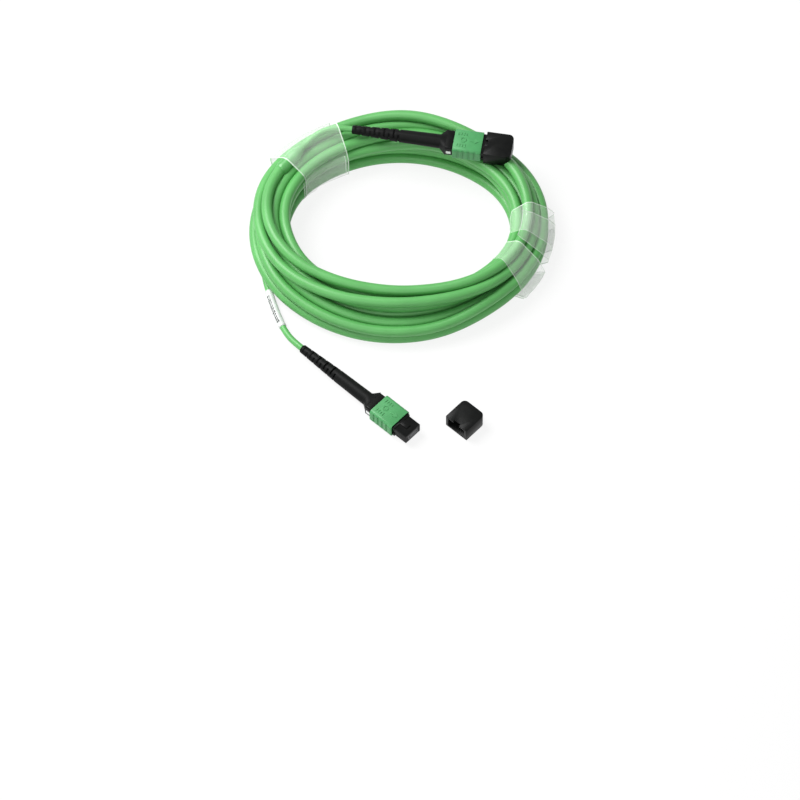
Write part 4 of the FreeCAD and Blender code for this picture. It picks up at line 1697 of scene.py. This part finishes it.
@dataclass(frozen=True)
class Plug:
    """One plug's looks: its moulded pieces with rounded edges, its springs and its marks.

    The outlines' corners are in millimetres, x along the plug and y or z across it.
    """

    prefix: str
    mouldings: tuple[Moulding, ...] = (
        Moulding("inner_housing", 0.16 * MM, BLACK, Slot.BLACK),
        Moulding("coupling_sleeve", 0.22 * MM, SLEEVE_GREEN, Slot.GREEN, slides=True),
        Moulding("rear_body", 0.2 * MM, BLACK, Slot.BLACK),
        Moulding("strain_boot", 0.14 * MM, RUBBER, Slot.SOFT_BLACK),
    )
    springs: tuple[Spring, ...] = (
        Spring("ferrule_spring", "ferrule_float", FERRULE_TRAVEL),
        Spring("sleeve_spring_right", "coupling_slide", SLEEVE_TRAVEL),
        Spring("sleeve_spring_left", "coupling_slide", SLEEVE_TRAVEL),
    )
    # The raised marks on top of the sleeve.
    sleeve_top: float = 3.85
    mark_height: float = 0.22
    mark_rounding: float = 0.05 * MM
    arrow: tuple[FlatPoint, ...] = (
        (-9.6, 0.0), (-11.6, 1.5), (-11.6, 0.55), (-13.6, 0.55),
        (-13.6, -0.55), (-11.6, -0.55), (-11.6, -1.5),
    )
    ring_centre: FlatPoint = (-16.8, 0.0)
    ring_radii: FlatPoint = (1.35, 0.95)
    ring_points: int = 32
    bar_rows: FlatPoint = (3.2, -3.2)
    bar_start: float = -19.6
    bar_pitch: float = 1.25
    bar_width: float = 0.45
    bar_lengths: tuple[float, ...] = (1.9, 1.4, 1.7, 1.2)
    # The small white mark on the rear block's side.
    dot_corners: tuple[FlatPoint, ...] = ((-24.2, -1.3), (-22.0, -1.3), (-22.0, 0.4), (-24.2, 0.4))
    dot_sides: FlatPoint = (-5.2, -5.32)
    dot_rounding: float = 0.04 * MM
    # The row of fibre ends in the ferrule's face.
    fibre_count: int = 12
    fibre_pitch: float = 0.25 * MM
    fibre_radius: float = 0.0625 * MM
    fibre_depth: float = 0.03 * MM
    fibre_sides: int = 16

    def place(self) -> Matrix:
        """Find the plug's place.

        Returns:
            The matrix from the near plug's place to this plug's, in the row frame.
        """
        if not self.prefix:
            return Matrix()
        boot_end = FAR_LEG.control_points()[0]
        turn = Matrix.Rotation(COIL.turn + FAR_PLUG_TURN, 4, "Z")
        back = Matrix.Translation((-NEAR_LEG.route[0][0] * MM, 0, 0))
        return Matrix.Translation(boot_end) @ turn @ back

    def build(self) -> None:
        """Make every moulded piece, spring and mark of the plug and report it."""
        sleeve_body = self.prefix + "coupling"
        for part in self.mouldings:
            name = f"{self.prefix}moulded_{part.node}"
            piece = softened(name, self.prefix + part.node, part.rounding)
            paint(piece, part.finish)
            body = sleeve_body if part.slides else NEAR_BODY
            place_piece(piece, body, part.slot, self.prefix + part.node)
        for spring in self.springs:
            self.spring(spring)
        place_piece(self.sleeve_marks(), sleeve_body, Slot.GREEN)
        place_piece(self.white_dot(), NEAR_BODY, Slot.LABEL)
        place_piece(self.fibre_ends(), self.prefix + "ferrule", Slot.FIBRE)

    def spring(self, spring: Spring) -> None:
        """Make a spring as a copy of its CAD node, shaded smooth, with a steel finish.

        Args:
            spring: the spring.
        """
        node = self.prefix + spring.node
        piece = object_from(f"{self.prefix}coiled_{spring.node}", merged_node(node))
        shade_smooth(piece)
        paint(piece, STEEL)
        place_piece(piece, NEAR_BODY, Slot.STEEL, node)
        place = self.place()
        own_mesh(piece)

    def sleeve_marks(self) -> bpy.types.Object:
        """Raise an arrow, a ring and two rows of short bars on top of the sleeve.

        Returns:
            The piece, sunk a little into the sleeve.
        """
        mesh = bmesh.new()
        outlines = [self.arrow]
        for row, y in enumerate(self.bar_rows):
            for column in range(len(self.bar_lengths)):
                x = self.bar_start + self.bar_pitch * column
                half = self.bar_lengths[(column + row) % len(self.bar_lengths)] / 2
                end = x + self.bar_width
                outlines.append(((x, y - half), (end, y - half), (end, y + half), (x, y + half)))
        heights = (self.sleeve_top - self.mark_height, self.sleeve_top + self.mark_height)
        for outline in outlines:
            add_prism(mesh, *([(x * MM, y * MM, z * MM) for x, y in outline] for z in heights))
        self.raise_ring(mesh, *heights)
        return self.finished("sleeve_marks", mesh, SLEEVE_GREEN, self.mark_rounding)

    def raise_ring(self, mesh: bmesh.types.BMesh, low: float, high: float) -> None:
        """Add a low ring with a square section.

        Args:
            mesh: the bmesh that it is added to.
            low: the height of its underside.
            high: the height of its top.
        """
        outer, inner = self.ring_radii
        loops = []
        for radius, z in ((outer, low), (outer, high), (inner, high), (inner, low)):
            loop = []
            for index in range(self.ring_points):
                angle = 2 * math.pi * index / self.ring_points
                x = self.ring_centre[0] + radius * math.cos(angle)
                y = self.ring_centre[1] + radius * math.sin(angle)
                loop.append(mesh.verts.new((x * MM, y * MM, z * MM)))
            loops.append(loop)
        for one, other in zip(loops, loops[1:] + loops[:1]):
            add_walls(mesh, one, other)

    def white_dot(self) -> bpy.types.Object:
        """Set the small white mark on the rear block's side.

        Returns:
            The piece.
        """
        mesh = bmesh.new()
        ends = ([(x * MM, y * MM, z * MM) for x, z in self.dot_corners] for y in self.dot_sides)
        add_prism(mesh, *ends)
        return self.finished("white_mark", mesh, WHITE_INK, self.dot_rounding)

    def finished(
        self, name: str, mesh: bmesh.types.BMesh, finish: Finish, rounding: float
    ) -> bpy.types.Object:
        """Turn a bmesh into a rounded, painted piece in the plug's place.

        Args:
            name: the piece's name on the near plug.
            mesh: the bmesh, which is used up.
            finish: the piece's finish.
            rounding: the width of its edges' rounding.

        Returns:
            The piece.
        """
        bmesh.ops.recalc_face_normals(mesh, faces=mesh.faces)
        piece = object_from(self.prefix + name, mesh)
        round_edges(piece, rounding)
        piece.data.transform(self.place())
        paint(piece, finish)
        return piece

    def fibre_ends(self) -> bpy.types.Object:
        """Set the row of polished fibre ends in the ferrule's face with a node tree.

        Returns:
            The piece.
        """
        host = mesh_object(f"{self.prefix}fibre_ends", [(0, 0, 0)], [])
        tree = NodeTree(f"{self.prefix}fibre_row")
        tree.input("Host", "NodeSocketGeometry")
        count = tree.input("Count", "NodeSocketInt")
        spacing = tree.input("Spacing", "NodeSocketVector")
        start = tree.input("Start", "NodeSocketVector")
        radius = tree.input("Radius", "NodeSocketFloat")
        depth = tree.input("Depth", "NodeSocketFloat")
        tilt = tree.input("Tilt", "NodeSocketRotation")
        material = tree.input("Material", "NodeSocketMaterial")
        line = tree.add("GeometryNodeMeshLine", Count=count, Offset=spacing, Start_Location=start)
        disc = tree.add(
            "GeometryNodeMeshCylinder", Vertices=self.fibre_sides, Radius=radius, Depth=depth
        )
        copies = tree.add(
            "GeometryNodeInstanceOnPoints",
            Points=line.outputs[0],
            Instance=disc.outputs["Mesh"],
            Rotation=tilt,
        )
        tree.finish(copies.outputs[0], material)
        values = {
            "Count": self.fibre_count,
            "Spacing": (0, self.fibre_pitch, 0),
            "Start": (0, -self.fibre_pitch * (self.fibre_count - 1) / 2, 0),
            "Radius": self.fibre_radius,
            "Depth": self.fibre_depth,
            "Tilt": (0, math.pi / 2 - FERRULE_TILT, 0),
            "Material": PAINTS.get(FIBRE),
        }
        tree.apply(host, values)
        host.data.transform(self.place())
        return host


@dataclass(frozen=True)
class DustCap:
    """A dust cap with its edges rounded."""

    node: str
    body: str
    rounding: float = 0.28 * MM

    def build(self) -> None:
        """Make the cap and report it."""
        cap = softened(f"moulded_{self.node}", self.node, self.rounding)
        paint(cap, BLACK)
        place_piece(cap, self.body, Slot.BLACK, self.node)


# The pieces that keep their plain CAD shape, and the finish of each.
PLAIN = {
    "mt_ferrule": RESIN,
    "ferrule_spacer": STEEL,
    "ferrule_boot": RUBBER,
    "crimp_ring": CRIMP,
    "fibre_ribbon": FIBRE,
    "gripped_cable": JACKET,
}


def paint_plain_nodes() -> None:
    """Give every CAD node that keeps its plain shape its finish, on both plugs."""
    for name, node in FRAME["nodes"].items():
        finish = PLAIN.get(name.removeprefix("far_"))
        if finish:
            paint(node, finish)


def main() -> None:
    """Build the looks in order and report each piece."""
    Studio().build()
    NEAR_LEG.build()
    FAR_LEG.build()
    winding = TrunkWinding()
    winding.build()
    NEAR_SHRINK.build()
    FAR_SHRINK.build()
    LabelSleeve().build()
    for film in FILMS:
        film.build(winding)
    for plug in (Plug(""), Plug("far_")):
        plug.build()
    for cap in (DustCap("dust_cap", NEAR_BODY), DustCap("far_dust_cap", "far_cap")):
        cap.build()
    paint_plain_nodes()


if __name__ == "__main__":
    logging.basicConfig(level=logging.INFO, format="%(message)s")
    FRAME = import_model()
    main()
